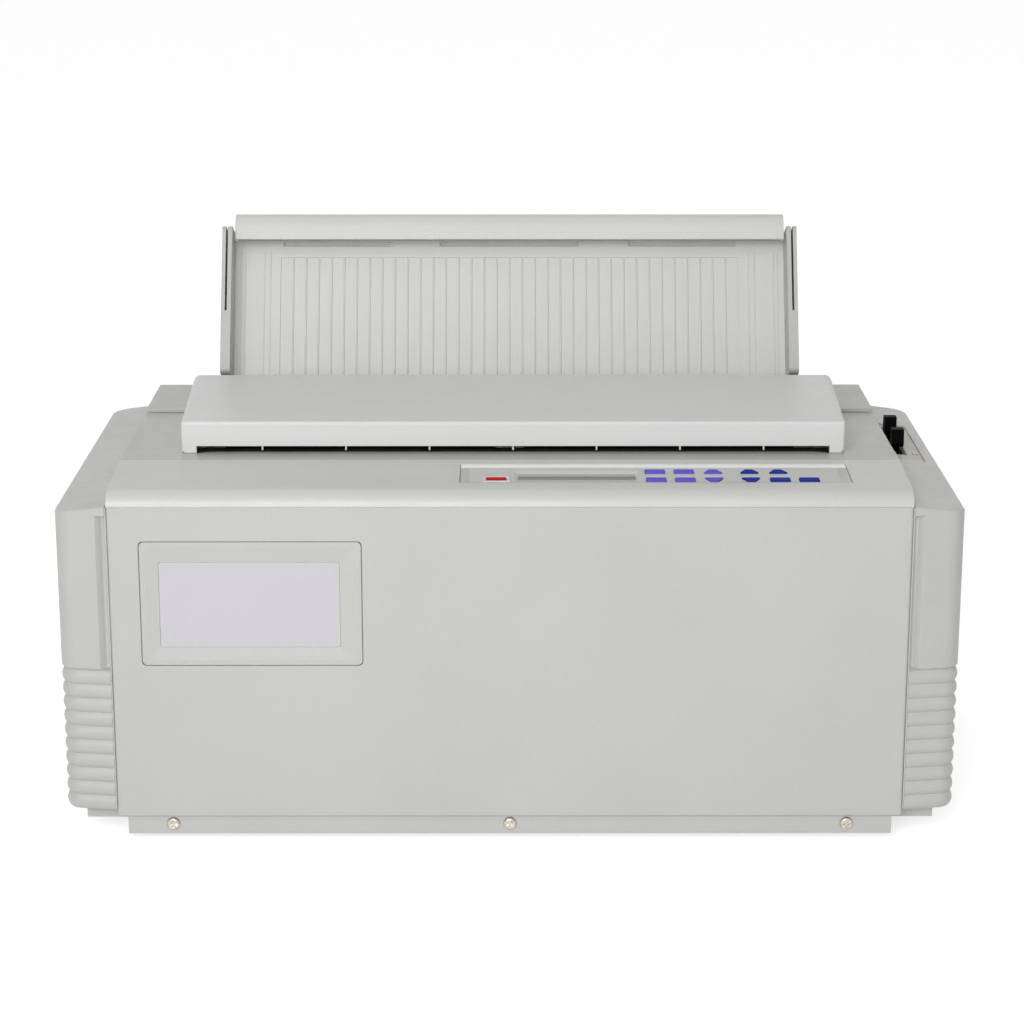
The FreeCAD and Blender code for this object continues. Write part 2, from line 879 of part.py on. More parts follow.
def make_lever_plate():
    """Plate let into the right housing from below, with the levers' slot and their bearing ears."""
    top = side_top - lever_plate_sink
    seat = side_top - wall
    root = seat - lever_plate_thick
    plate = box(lever_plate_left + touch, lever_plate_right - touch,
                lever_plate_front + touch, lever_plate_back - touch, root, top)
    flange = box(lever_plate_left - lever_plate_flange, lever_plate_right + lever_plate_flange,
                 lever_plate_front - lever_plate_flange, lever_plate_back + lever_plate_flange, root, seat)
    slot = slab_z(rectangle(lever_x - lever_slot_half, lever_x + lever_slot_half,
                            lever_slot_front, lever_slot_back, touch),
                  root - overrun, top + overrun)
    pieces = [fall_outwards(fuse([plate, flange]).cut(slot))]
    bores = []
    ear_in = lever_hub_width / 2 + lever_ear_gap
    ear_out = ear_in + lever_ear_thick
    low = lever_pivot_z - lever_ear_half
    for y in (thickness_lever_y, feed_lever_y):
        side = [(y - lever_ear_half, low, lever_ear_half / 2), (y + lever_ear_half, low, lever_ear_half / 2),
                (y + lever_ear_half, root, 0), (y - lever_ear_half, root, 0)]
        pieces.append(slab_x(side, lever_x - ear_out, lever_x - ear_in))
        pieces.append(slab_x(side, lever_x + ear_in, lever_x + ear_out))
        bores.append(rod_x(lever_x - ear_out - overrun, lever_x + ear_out + overrun,
                           y, lever_pivot_z, lever_pin_r + running))
    return fuse(pieces).cut(group(bores))


def make_lever(y):
    """Hand lever: a hub with pins, a flat arm and a tapered finger knob."""
    half_hub = lever_hub_width / 2
    pin_half = half_hub + lever_ear_gap + lever_ear_thick
    half_arm = lever_arm_thick / 2
    half_width = lever_arm_width / 2
    half_knob = lever_knob_length / 2
    half_top = half_knob * lever_knob_top_share
    hub = rod_x(lever_x - half_hub, lever_x + half_hub, y, lever_pivot_z, lever_hub_r)
    pin = rod_x(lever_x - pin_half, lever_x + pin_half, y, lever_pivot_z, lever_pin_r)
    arm = box(lever_x - half_arm, lever_x + half_arm, y - half_width, y + half_width,
              lever_pivot_z, lever_knob_low + touch)
    knob = slab_x([(y - half_width, lever_knob_low, 0), (y + half_width, lever_knob_low, 0),
                   (y + half_knob, lever_knob_low + half_width, touch),
                   (y + half_top, lever_knob_top, lever_knob_r),
                   (y - half_top, lever_knob_top, lever_knob_r),
                   (y - half_knob, lever_knob_low + half_width, touch)],
                  lever_x - lever_knob_width / 2, lever_x + lever_knob_width / 2)
    return fuse([hub, pin, arm, knob])


def band_profile(inset):
    """Side profile of the control band: upright front, bullnose and a slope up to the deck."""
    return [
        (inset, band_low - (overrun if inset else 0), 0),
        (inset, band_front_top - inset, bullnose_r - inset),
        (band_back - inset, plateau_top - inset, 0),
        (band_back - inset, band_low - (overrun if inset else 0), 0)]


def on_band(shape):
    """Tilt a piece modelled at Z=0 onto the band's slope; its Y stays as seen from above."""
    tilted = shape.copy()
    tilted.rotate(Vector(0, 0, 0), Vector(1, 0, 0), band_slope)
    tilted.translate(Vector(0, 0, band_front_top))
    return tilted


def make_control_band():
    body = slab_x(band_profile(0), -panel_half, panel_half)
    hollow = slab_x(band_profile(wall), -panel_half + wall, panel_half - wall)
    shell = body.cut(hollow)
    skirts = [box(-panel_half, -panel_half + wall, skirt_front, band_back, skirt_low, band_low + wall),
              box(panel_half - wall, panel_half, skirt_front, band_back, skirt_low, band_low + wall)]
    shell = fuse([shell] + skirts)
    recess = slab_z(rectangle(plate_left - plate_gap, plate_right + plate_gap,
                              plate_front - plate_gap / 2, plate_back + plate_gap / 2, plate_corner_r),
                    -plate_recess, overrun)
    under = slab_z(rectangle(plate_left + plate_ledge, plate_right - plate_ledge,
                             plate_front + plate_ledge, plate_back - plate_ledge, plate_corner_r),
                   -wall - overrun, overrun)
    return shell.cut(on_band(recess)).cut(on_band(under))


def key_outline(kind, width, length):
    """Plan of a key cap about its centre: a bar, or an arrow head pointing back or front."""
    half = width / 2
    deep = length / 2
    tip = arrow_tip / 2 + (width - key_width) / 2
    if kind == "back":
        return [(-half, -deep, key_corner_r), (half, -deep, key_corner_r),
                (tip, deep, key_corner_r), (-tip, deep, key_corner_r)]
    if kind == "front":
        return [(-tip, -deep, key_corner_r), (tip, -deep, key_corner_r),
                (half, deep, key_corner_r), (-half, deep, key_corner_r)]
    return rectangle(-half, half, -deep, deep, key_corner_r)


def key_places():
    """Name, kind and centre of every key, column by column."""
    back_y = key_row_y + key_row_pitch
    kinds = [("bar", "bar"), ("bar", "bar"), ("back", "front"), ("back", "front"), ("back", "bar"),
             (None, "bar")]
    places = []
    for column, (back_kind, front_kind) in enumerate(kinds):
        block = column // key_block_columns
        x = key_first_x + block * key_block_pitch + (column % key_block_columns) * key_pitch
        if back_kind:
            places.append(("key_" + str(column + 1) + "_back", back_kind, x, back_y))
        places.append(("key_" + str(column + 1) + "_front", front_kind, x, key_row_y))
    return places


def placed(corners, x, y):
    return [(x + u, y + v, radius) for u, v, radius in corners]


def make_key(kind, x, y):
    foot_top = plate_low - touch
    cap = slab_z(placed(key_outline(kind, key_width, key_length), x, y), foot_top, plate_top + key_proud)
    foot = slab_z(placed(key_outline("bar", key_width + 2 * key_flange, key_length + 2 * key_flange), x, y),
                  foot_top - key_flange_thick, foot_top)
    return on_band(fuse([cap, foot]))


def window_corners(grow):
    return rectangle(window_left - grow, window_right + grow, window_front - grow, window_back + grow,
                     plate_corner_r)


def lamp_corners(grow):
    return rectangle(lamp_x - lamp_width / 2 - grow, lamp_x + lamp_width / 2 + grow,
                     lamp_y - lamp_length / 2 - grow, lamp_y + lamp_length / 2 + grow, key_corner_r)


def make_operator_plate():
    """Thin plate with a bevelled display window, a lamp hole and a hole for each key."""
    low = plate_low
    plate = slab_z(rectangle(plate_left, plate_right, plate_front, plate_back, plate_corner_r), low,
                   plate_top)
    wide = loop(window_corners(window_bevel), lambda u, v: Vector(u, v, plate_top))
    narrow = loop(window_corners(0), lambda u, v: Vector(u, v, low + touch))
    holes = [slab_z(lamp_corners(touch), low - overrun, plate_top + overrun)]
    for name, kind, x, y in key_places():
        grown = key_outline(kind, key_width + 2 * key_gap, key_length + 2 * key_gap)
        holes.append(slab_z(placed(grown, x, y), low - overrun, plate_top + overrun))
    bevel = Part.makeLoft([narrow, wide], True, True)
    opening = slab_z(window_corners(0), low - overrun, plate_top)
    return on_band(plate.cut(group(holes)).cut(opening).cut(bevel))


def make_display_window():
    """Display glass seated against the underside of the plate."""
    return on_band(slab_z(window_corners(window_bevel), plate_low - window_thick, plate_low))


def make_status_lamp():
    lens = slab_z(lamp_corners(0), plate_low - touch, plate_top + lamp_proud)
    foot = slab_z(lamp_corners(key_flange), plate_low - key_flange_thick, plate_low)
    return on_band(fuse([lens, foot]))


def make_front_deck():
    """Deck behind the band: a raised front strip, the print bay, a paper ramp and the exit cover's lugs."""
    low_top = plateau_top - deck_sink
    front = band_back + seam
    back = deck_split - touch
    profile = [
        (front, under_deck, 0), (front, plateau_top, 0), (deck_strip_back, plateau_top, 0),
        (deck_strip_back + deck_sink, low_top, 0), (back, low_top, 0), (back, under_deck, 0)]
    deck = slab_x(profile, -panel_half, panel_half)
    skirts = [box(x, x + wall, front, back, skirt_low, under_deck + touch)
              for x in (-panel_half, panel_half - wall)]
    ramp_back = bay_front + ramp_corner_r
    ramp_plan = slab_z(rectangle(-ramp_half, ramp_half, ramp_front, ramp_back, ramp_corner_r),
                       low_top - touch, plateau_top + ramp_height)
    ramp = slab_x([(ramp_front, low_top - touch, 0), (ramp_back, plateau_top + ramp_height, 0),
                   (ramp_back, low_top - touch, 0)], -ramp_half, ramp_half).common(ramp_plan)
    bay = slab_z(rectangle(-bay_half, bay_half, bay_front, bay_back, bay_corner_r),
                 under_deck - overrun, plateau_top + overrun)
    lugs = []
    bores = []
    lug_round = lid_lug_r * edge_round_share
    lug_out = lid_pivot_half - lid_wall - lid_lug_gap
    for side in (-1, 1):
        far = lid_centre + side * lug_out
        near = far - side * lid_lug_width
        lugs.append(slab_x([
            (lid_pivot_y - lid_lug_r, low_top - touch, 0), (lid_pivot_y + lid_lug_r, low_top - touch, 0),
            (lid_pivot_y + lid_lug_r, lid_pivot_z + lid_lug_r, lug_round),
            (lid_pivot_y - lid_lug_r, lid_pivot_z + lid_lug_r, lug_round)], min(near, far), max(near, far)))
        bores.append(rod_x(min(near, far) - overrun, max(near, far) + overrun,
                           lid_pivot_y, lid_pivot_z, lid_pin_r + running))
    return fuse([deck] + skirts + [ramp] + lugs).cut(bay).cut(group(bores))


def make_rear_deck():
    """Deck round the tractor bay, with a rounded rear edge and the rear cover's lugs."""
    under = rear_deck_top - wall
    front = deck_split + touch
    profile = [
        (front, under, 0), (front, rear_deck_top, touch),
        (rear_deck_back, rear_deck_top, rear_edge_r), (rear_deck_back, under, 0)]
    deck = slab_x(profile, -panel_half, panel_half)
    skirts = [box(x, x + wall, front, rear_skirt_back, skirt_low, under + touch)
              for x in (-panel_half, panel_half - wall)]
    bay = slab_z(rectangle(-rear_bay_half, rear_bay_half, rear_bay_front, rear_bay_back, bay_corner_r),
                 under - overrun, rear_deck_top + overrun)
    lugs = []
    bores = []
    lug_round = cover_lug_r * edge_round_share
    for side in (-1, 1):
        near = side * (rear_bay_half + cover_lug_gap)
        far = near + side * cover_lug_width
        lugs.append(slab_x([
            (cover_pivot_y - cover_lug_r, rear_deck_top - touch, 0),
            (cover_pivot_y + cover_lug_r, rear_deck_top - touch, 0),
            (cover_pivot_y + cover_lug_r, cover_pivot_z + cover_lug_r, lug_round),
            (cover_pivot_y - cover_lug_r, cover_pivot_z + cover_lug_r, lug_round)],
            min(near, far), max(near, far)))
        ends = sorted((side * cover_half, far + side * overrun))
        bores.append(rod_x(*ends, cover_pivot_y, cover_pivot_z, cover_pin_r + running))
    return fuse([deck] + skirts + lugs).cut(bay).cut(group(bores))


def make_exit_cover():
    """Hood over the print bay: sloping top, front wall over the slot, legs, side walls and guide ribs."""
    left = lid_centre - lid_half
    right = lid_centre + lid_half
    heel_z = lid_pivot_z - math.sqrt(lid_pivot_rise ** 2 - lid_pivot_inset ** 2)
    half_turn = math.asin(lid_pivot_inset / lid_pivot_rise) / 2
    heel = Vector(0, lid_pivot_y + lid_pivot_rise * math.sin(half_turn),
                  lid_pivot_z - lid_pivot_rise * math.cos(half_turn))

    def side_wall_at(x, width):
        points = [Vector(x, lid_front, lid_low), Vector(x, lid_front, lid_front_top),
                  Vector(x, lid_back, lid_back_top), Vector(x, lid_back, heel_z),
                  Vector(x, lid_pivot_y, lid_low)]
        edges = [Part.makeLine(points[i], points[i + 1]) for i in range(3)]
        edges.append(Part.Arc(points[3], Vector(x, heel.y, heel.z), points[4]).toShape())
        edges.append(Part.makeLine(points[4], points[0]))
        return Part.Face(Part.Wire(edges)).extrude(Vector(width, 0, 0))

    def hood(inset):
        """Tapered hood between its front and back outlines, with its faces set in."""
        outlines = []
        for y, flare, top, corner in ((lid_front + inset, 0, lid_front_top, lid_edge_r),
                                      (lid_back - inset, lid_flare, lid_back_top, lid_shoulder_r)):
            half = lid_half + flare - inset
            corners = [(lid_centre - half, lid_low - overrun, 0), (lid_centre + half, lid_low - overrun, 0),
                       (lid_centre + half, top - inset, corner), (lid_centre - half, top - inset, corner)]
            outlines.append(loop(corners, lambda u, v, y=y: Vector(u, y, v)))
        return Part.makeLoft(outlines, True, True)

    wide_left = left - lid_flare
    wide_right = right + lid_flare
    rounded = slab_x([
        (lid_front, lid_low - overrun, 0), (lid_front, lid_front_top, lid_edge_r),
        (lid_back, lid_back_top, lid_edge_r), (lid_back, lid_low - overrun, 0)], wide_left, wide_right)
    plan = slab_z([(left, lid_front, lid_edge_r), (right, lid_front, lid_edge_r),
                   (wide_right, lid_back, lid_edge_r), (wide_left, lid_back, lid_edge_r)],
                  lid_low - overrun, lid_back_top + overrun)
    block = side_wall_at(wide_left, wide_right - wide_left).common(rounded).common(plan).common(hood(0))
    shell = block.cut(hood(lid_wall))
    slot = box(left + leg_width, right - leg_width, lid_front - overrun, lid_front + lid_wall + overrun,
               lid_low - overrun, slot_top)
    rear_gap = box(wide_left + lid_wall, wide_right - lid_wall, lid_back - lid_wall - overrun,
                   lid_back + overrun,
                   lid_low - overrun, lid_rear_low)
    notches = [box(x - leg_notch_width, x + leg_notch_width, lid_front - overrun, lid_front + lid_wall,
                   lid_low - overrun, lid_low + leg_notch_height) for x in (left, right)]
    shell = shell.cut(group([slot, rear_gap] + notches))
    inside_top = lid_front_top - lid_wall
    ribs = []
    for index in range(guide_rib_count):
        x = lid_centre + (index - (guide_rib_count - 1) / 2) * guide_rib_pitch
        ribs.append(slab_x([
            (lid_front + lid_wall - touch, guide_rib_low, 0), (guide_rib_back, guide_rib_low, lid_edge_r),
            (guide_rib_back, inside_top + touch, 0), (lid_front + lid_wall - touch, inside_top + touch, 0)],
            x - guide_rib_width / 2, x + guide_rib_width / 2))
    pins = []
    for side in (-1, 1):
        wall_face = lid_centre + side * (lid_pivot_half - lid_wall / 2)
        tip = lid_centre + side * (lid_pivot_half - lid_wall - lid_lug_gap - lid_lug_width)
        pins.append(rod_x(min(wall_face, tip), max(wall_face, tip), lid_pivot_y, lid_pivot_z, lid_pin_r))
    return fuse([shell] + ribs + pins)


def lean_back(shape):
    """Swing a piece drawn upright about the hinge to the cover's leaning rest position."""
    leaning = shape.copy()
    leaning.rotate(Vector(0, 0, 0), Vector(1, 0, 0), -cover_lean)
    leaning.translate(Vector(0, cover_pivot_y, cover_pivot_z))
    return leaning


def make_rear_cover():
    """Ribbed paper-guide panel rolled over at the top into a grip bar, with hinge pins at its foot."""
    half_thick = cover_thick / 2
    panel = slab_x([
        (-half_thick, -cover_foot, half_thick * edge_round_share),
        (half_thick, -cover_foot, half_thick * edge_round_share),
        (half_thick, cover_top, 0), (-half_thick, cover_top, 0)], -cover_half, cover_half)
    field = slab_x([
        (-half_thick - overrun, field_foot, 0), (-half_thick + field_sink, field_foot, 0),
        (-half_thick + field_sink, field_top, 0), (-half_thick - overrun, field_top, 0)], -field_half,
        field_half)
    panel = panel.cut(field)
    inner_r = bar_r - bar_wall
    roll = [
        Part.makeLine(Vector(0, half_thick, bar_lip), Vector(0, half_thick, bar_centre)),
        Part.Arc(Vector(0, half_thick, bar_centre), Vector(0, bar_y, bar_centre + bar_r),
                 Vector(0, bar_y - bar_r, bar_centre)).toShape(),
        Part.makeLine(Vector(0, bar_y - bar_r, bar_centre), Vector(0, bar_y - bar_r, bar_lip)),
        Part.makeLine(Vector(0, bar_y - bar_r, bar_lip), Vector(0, bar_y - inner_r, bar_lip)),
        Part.makeLine(Vector(0, bar_y - inner_r, bar_lip), Vector(0, bar_y - inner_r, bar_centre)),
        Part.Arc(Vector(0, bar_y - inner_r, bar_centre), Vector(0, bar_y, bar_centre + inner_r),
                 Vector(0, bar_y + inner_r, bar_centre)).toShape(),
        Part.makeLine(Vector(0, bar_y + inner_r, bar_centre), Vector(0, bar_y + inner_r, bar_lip)),
        Part.makeLine(Vector(0, bar_y + inner_r, bar_lip), Vector(0, half_thick, bar_lip))]
    bar = Part.Face(Part.Wire(roll)).extrude(Vector(2 * bar_half, 0, 0))
    bar.translate(Vector(-bar_half, 0, 0))
    face = -half_thick + field_sink
    ribs = []
    for index in range(cover_rib_count):
        x = (index - (cover_rib_count - 1) / 2) * cover_rib_pitch
        half_rib = cover_rib_width / 2
        rib = slab_z([
            (x - half_rib, face + touch, 0), (x - half_rib / 2, face - cover_rib_height, 0),
            (x + half_rib / 2, face - cover_rib_height, 0), (x + half_rib, face + touch, 0)],
            field_foot - touch, field_top + touch)
        ribs.append(rib)
    grips = []
    grip_top = cover_top - grip_drop
    for x0, x1 in ((-grip_side_to, -grip_side_from), (-grip_mid_half, grip_mid_half),
                   (grip_side_from, grip_side_to)):
        grips.append(box(x0, x1, -half_thick - overrun, half_thick + overrun, grip_top - grip_height,
                         grip_top))
    pins = []
    for side in (-1, 1):
        root = side * (cover_half - overrun)
        tip = side * (cover_half + cover_pin_length)
        pins.append(rod_x(min(root, tip), max(root, tip), 0, 0, cover_pin_r))
    foot = rod_x(-cover_half, cover_half, 0, 0, cover_foot)
    cover = fuse([panel, bar, foot] + ribs + pins).cut(group(grips))
    return lean_back(cover)


def make_cover_wings():
    """Side wings of the rear cover: double plates joined below and behind a narrow slot."""
    front = -cover_thick / 2 - wing_depth
    back = cover_thick / 2
    outer = cover_half + wing_inner_thick + wing_slot + wing_outer_thick
    profile = [
        (front, wing_low, wing_corner_r), (back, wing_low, 0), (back, wing_high, 0),
        (front, wing_high, wing_corner_r)]
    wings = []
    for side in (-1, 1):
        near = side * cover_half
        far = side * outer
        slot_near = side * (cover_half + wing_inner_thick)
        slot_far = side * (cover_half + wing_inner_thick + wing_slot)
        wing = slab_x(profile, min(near, far), max(near, far))
        slot = box(min(slot_near, slot_far), max(slot_near, slot_far), front - overrun,
                   front + wing_slot_depth,
                   wing_slot_low, wing_high + overrun)
        wings.append(lean_back(wing.cut(slot)))
    return group(wings)


def make_rear_wall():
    """Rear wall with the paper slot and openings for the inlet, the port and the fan's grille."""
    plate = box(-panel_half, panel_half, rear_wall_inner, rear_wall_face, rim_top, rear_wall_top)
    cut_from = rear_wall_inner - overrun
    cut_to = rear_wall_face + overrun
    holes = [
        slab_y(rectangle(-paper_half, paper_half, paper_low, paper_high, paper_corner_r), cut_from, cut_to),
        box(inlet_x - inlet_width / 2, inlet_x + inlet_width / 2, cut_from, cut_to,
            inlet_z - inlet_height / 2, inlet_z + inlet_height / 2),
        box(port_x - port_width / 2, port_x + port_width / 2, cut_from, cut_to,
            port_z - port_height / 2, port_z + port_height / 2)]
    for index in range(grille_count):
        z = fan_z + (index - (grille_count - 1) / 2) * grille_pitch
        half = math.sqrt(fan_bore_r ** 2 - (z - fan_z) ** 2) - grille_slot / 2
        holes.append(slab_y(rectangle(fan_x - half, fan_x + half, z - grille_slot / 2, z + grille_slot / 2,
                                      grille_corner_r), cut_from, cut_to))
    return plate.cut(group(holes))


def make_power_inlet():
    """Mains inlet: flange on the wall, body behind it, socket with three contacts, rocker's well above."""
    half_width = inlet_width / 2
    half_height = inlet_height / 2
    outside = rear_wall_face + inlet_flange_thick
    body = box(inlet_x - half_width + touch, inlet_x + half_width - touch, rear_wall_inner - inlet_body,
               rear_wall_face + touch, inlet_z - half_height + touch, inlet_z + half_height - touch)
    flange = slab_y(rectangle(inlet_x - half_width - inlet_flange, inlet_x + half_width + inlet_flange,
                              inlet_z - half_height - inlet_flange, inlet_z + half_height + inlet_flange,
                              inlet_flange), rear_wall_face, outside)
    socket_z = inlet_z - socket_drop
    socket = slab_y(rectangle(inlet_x - socket_width / 2, inlet_x + socket_width / 2,
                              socket_z - socket_height / 2, socket_z + socket_height / 2, socket_corner_r),
                    outside - socket_depth, outside + overrun)
    rocker_z = inlet_z + rocker_raise
    well = box(inlet_x - rocker_width / 2 - rocker_gap, inlet_x + rocker_width / 2 + rocker_gap,
               outside - rocker_well_depth, outside + overrun,
               rocker_z - rocker_height / 2 - rocker_gap, rocker_z + rocker_height / 2 + rocker_gap)
    bearing = rod_x(inlet_x - half_width + inlet_flange_thick, inlet_x + half_width - inlet_flange_thick,
                    outside - rocker_depth / 2, rocker_z, rocker_pin_r + running)
    module = fuse([body, flange]).cut(socket).cut(well).cut(bearing)
    contacts = []
    for dx, dz in ((-contact_pitch, -contact_offset), (0, contact_offset), (contact_pitch, -contact_offset)):
        x = inlet_x + dx
        contacts.append(box(x - contact_width / 2, x + contact_width / 2, outside - socket_depth - touch,
                            outside - socket_depth + contact_length,
                            socket_z + dz - contact_height / 2, socket_z + dz + contact_height / 2))
    return fuse([module] + contacts)


def make_power_switch():
    """Rocker, pressed in at its lower end, turning on two stub pins."""
    outside = rear_wall_face + inlet_flange_thick
    rocker_z = inlet_z + rocker_raise
    axis_y = outside - rocker_depth / 2
    half = rocker_height / 2
    half_back = half * rocker_back_share
    low = rocker_z - math.sqrt(half ** 2 - (outside - rocker_gap - axis_y) ** 2)
    high = rocker_z + math.sqrt(half ** 2 - (outside + rocker_proud - axis_y) ** 2)
    profile = [
        (outside - rocker_depth, rocker_z - half_back, rocker_gap), (outside - rocker_gap, low, rocker_gap),
        (outside + rocker_gap, rocker_z, rocker_gap), (outside + rocker_proud, high, rocker_gap),
        (outside - rocker_depth, rocker_z + half_back, rocker_gap)]
    cap = slab_x(profile, inlet_x - rocker_width / 2, inlet_x + rocker_width / 2)
    pin_half = rocker_width / 2 + rocker_gap + inlet_flange_thick
    pin = rod_x(inlet_x - pin_half, inlet_x + pin_half, axis_y, rocker_z, rocker_pin_r)
    return fuse([cap, pin])


def make_interface_connector():
    """Parallel port: a D-ended shell on a mounting flange, with its contact tongue."""
    half = port_width / 2
    rise = port_height / 2
    front = rear_wall_face + port_proud
    shell = slab_y(rectangle(port_x - half + touch, port_x + half - touch,
                             port_z - rise + touch, port_z + rise - touch, port_corner_r),
                   rear_wall_inner - port_depth, front)
    flange = box(port_x - half - port_flange, port_x + half + port_flange,
                 rear_wall_inner - port_flange_thick, rear_wall_inner,
                 port_z - rise - port_flange, port_z + rise + port_flange)
    hollow = slab_y(rectangle(port_x - half + port_wall, port_x + half - port_wall,
                              port_z - rise + port_wall, port_z + rise - port_wall,
                              port_corner_r - port_wall),
                    rear_wall_inner, front + overrun)
    tongue = box(port_x - half + port_tongue_inset, port_x + half - port_tongue_inset,
                 rear_wall_inner - touch,
                 front - overrun, port_z - port_tongue_thick / 2, port_z + port_tongue_thick / 2)
    return fuse([fuse([shell, flange]).cut(hollow), tongue])


def make_fan_housing():
    """Square fan frame on the rear wall, with four struts that hold the rotor's pin."""
    half = fan_size / 2
    frame = slab_y(rectangle(fan_x - half, fan_x + half, fan_z - half, fan_z + half, fan_strut), fan_front,
                   rear_wall_inner)
    frame = frame.cut(rod_y(fan_front - overrun, rear_wall_inner + overrun, fan_x, fan_z, fan_bore_r))
    arms = []
    for turn in (fan_strut_turn, -fan_strut_turn):
        arm = box(-fan_bore_r - touch, fan_bore_r + touch, rear_wall_inner - fan_strut, rear_wall_inner,
                  -fan_strut / 2, fan_strut / 2)
        arm.rotate(Vector(0, 0, 0), Vector(0, 1, 0), turn)
        arm.translate(Vector(fan_x, 0, fan_z))
        arms.append(arm)
    hub = rod_y(rear_wall_inner - fan_strut, rear_wall_inner, fan_x, fan_z, fan_hub_r)
    pin = rod_y(fan_front + fan_strut, rear_wall_inner, fan_x, fan_z, fan_pin_r)
    return fuse([frame, hub, pin] + arms)


def make_fan_rotor():
    """Fan wheel: a hub cup and tilted blades."""
    front = fan_front + seam
    back = rear_wall_inner - fan_strut - touch
    middle_y = (front + back) / 2
    hub = rod_y(front, back, fan_x, fan_z, fan_hub_r)
    blades = []
    half_chord = fan_blade_chord / 2
    for index in range(fan_blade_count):
        blade = box(fan_hub_r - fan_blade_thick, fan_blade_r, -fan_blade_thick / 2, fan_blade_thick / 2,
                    -half_chord, half_chord)
        blade.rotate(Vector(0, 0, 0), Vector(1, 0, 0), fan_blade_tilt)
        blade.rotate(Vector(0, 0, 0), Vector(0, 1, 0), 360 * index / fan_blade_count)
        blade.translate(Vector(fan_x, middle_y, fan_z))
        blades.append(blade)
    round_edge = rod_y(front, back, fan_x, fan_z, fan_blade_r)
    bore = rod_y(front + fan_blade_thick, back + overrun, fan_x, fan_z, fan_pin_r + running)
    return fuse([hub] + blades).common(round_edge).cut(bore)


def gear(teeth, x0, x1, y, z, phase):
    """Spur gear with straight-sided teeth; phase is the angle of a tooth's centre from +Y towards +Z."""
    pitch_r = gear_module * teeth / 2
    tip_r = pitch_r + gear_module * gear_tip_share
    root_r = pitch_r - gear_module * gear_root_share
    step = 2 * math.pi / teeth
    slope = math.tan(math.radians(gear_pressure_angle))
    half_pitch = step / 2 / 2 - gear_backlash / pitch_r / 2
    half_tip = half_pitch - gear_module * gear_tip_share * slope / tip_r
    half_root = half_pitch + gear_module * gear_flank_share * slope / root_r
    points = []
    for index in range(teeth):
        middle_angle = phase + index * step
        for radius, angle in ((root_r, -half_root), (tip_r, -half_tip), (tip_r, half_tip),
                              (root_r, half_root)):
            points.append(Vector(x0, y + radius * math.cos(middle_angle + angle),
                                 z + radius * math.sin(middle_angle + angle)))
    return Part.Face(Part.makePolygon(points + [points[0]])).extrude(Vector(x1 - x0, 0, 0))


def mesh_phase(teeth, own_phase, other_teeth, direction):
    """Phase of a gear that puts one of its gaps on a tooth of the gear it meets, along direction."""
    step = 2 * math.pi / teeth
    other_step = 2 * math.pi / other_teeth
    lead = (direction - own_phase) / step
    offset = lead - math.floor(lead)
    return direction + math.pi + offset * other_step + other_step / 2


platen_phase = 0.0
pinion_phase = mesh_phase(platen_teeth, platen_phase, pinion_teeth, -math.pi / 2)
idler_phase = mesh_phase(platen_teeth, platen_phase, idler_teeth, idler_angle)
tractor_phase = mesh_phase(idler_teeth, idler_phase, tractor_teeth, tractor_angle)


def make_platen_roller():
    roller = rod_x(-platen_half, platen_half, platen_y, platen_z, platen_r)
    return roller.cut(rod_x(-platen_half - overrun, platen_half + overrun, platen_y, platen_z,
                            platen_shaft_r))


def make_platen_shaft():
    return rod_x(-frame_face - frame_thick - gear_offset, gear_x1 + touch, platen_y, platen_z, platen_shaft_r)


def make_platen_gear():
    wheel = gear(platen_teeth, gear_x0, gear_x1, platen_y, platen_z, platen_phase)
    return wheel.cut(rod_x(gear_x0 - overrun, gear_x1 + overrun, platen_y, platen_z, platen_shaft_r))


def make_feed_pinion():
    """Pinion with the feed motor's shaft."""
    wheel = gear(pinion_teeth, gear_x0, gear_x1, pinion_y, pinion_z, pinion_phase)
    shaft = rod_x(frame_face - motor_bore_depth + touch, gear_x1, pinion_y, pinion_z, pinion_shaft_r)
    return fuse([wheel, shaft])


def make_idler_gear():
    wheel = gear(idler_teeth, gear_x0, gear_x1, idler_y, idler_z, idler_phase)
    return wheel.cut(rod_x(gear_x0 - overrun, gear_x1 + overrun, idler_y, idler_z, idler_pin_r + running))


def make_tractor_shaft():
    """Drive shaft of the tractors with its gear."""
    wheel = gear(tractor_teeth, gear_x0, gear_x1, tractor_y, tractor_z, tractor_phase)
    shaft = rod_x(-frame_face - frame_thick - gear_offset, gear_x1 + touch, tractor_y, tractor_z,
                  tractor_shaft_r)
    return fuse([wheel, shaft])


def make_feed_motor():
    """Square stepper motor on the inside of the right frame."""
    half = motor_face / 2
    body = slab_x(rectangle(pinion_y - half, pinion_y + half, pinion_z - half, pinion_z + half,
                            motor_corner_r),
                  frame_face - motor_length, frame_face)
    boss = rod_x(frame_face - touch, frame_face + frame_thick, pinion_y, pinion_z, motor_boss_r)
    bore = rod_x(frame_face - motor_bore_depth, frame_face + frame_thick + overrun,
                 pinion_y, pinion_z, pinion_shaft_r + running)
    return fuse([body, boss]).cut(bore)


def frame_plate(x0, x1):
    """Side frame sheet with rounded upper corners and bores for what runs or seats in it."""
    plate = slab_x([
        (frame_front, floor_top, 0), (frame_back, floor_top, 0),
        (frame_back, frame_top, frame_corner_r), (frame_front, frame_top, frame_corner_r)], x0, x1)
    bores = []
    for y, z, radius in (
            (platen_y, platen_z, platen_shaft_r + running), (tractor_y, tractor_z, tractor_shaft_r + running),
            (rail_y, rail_z, rail_r), (guide_y, rail_z, guide_r),
            (tractor_rod_y, tractor_rod_z, tractor_rod_r)):
        bores.append(rod_x(x0 - overrun, x1 + overrun, y, z, radius))
    return plate.cut(group(bores))


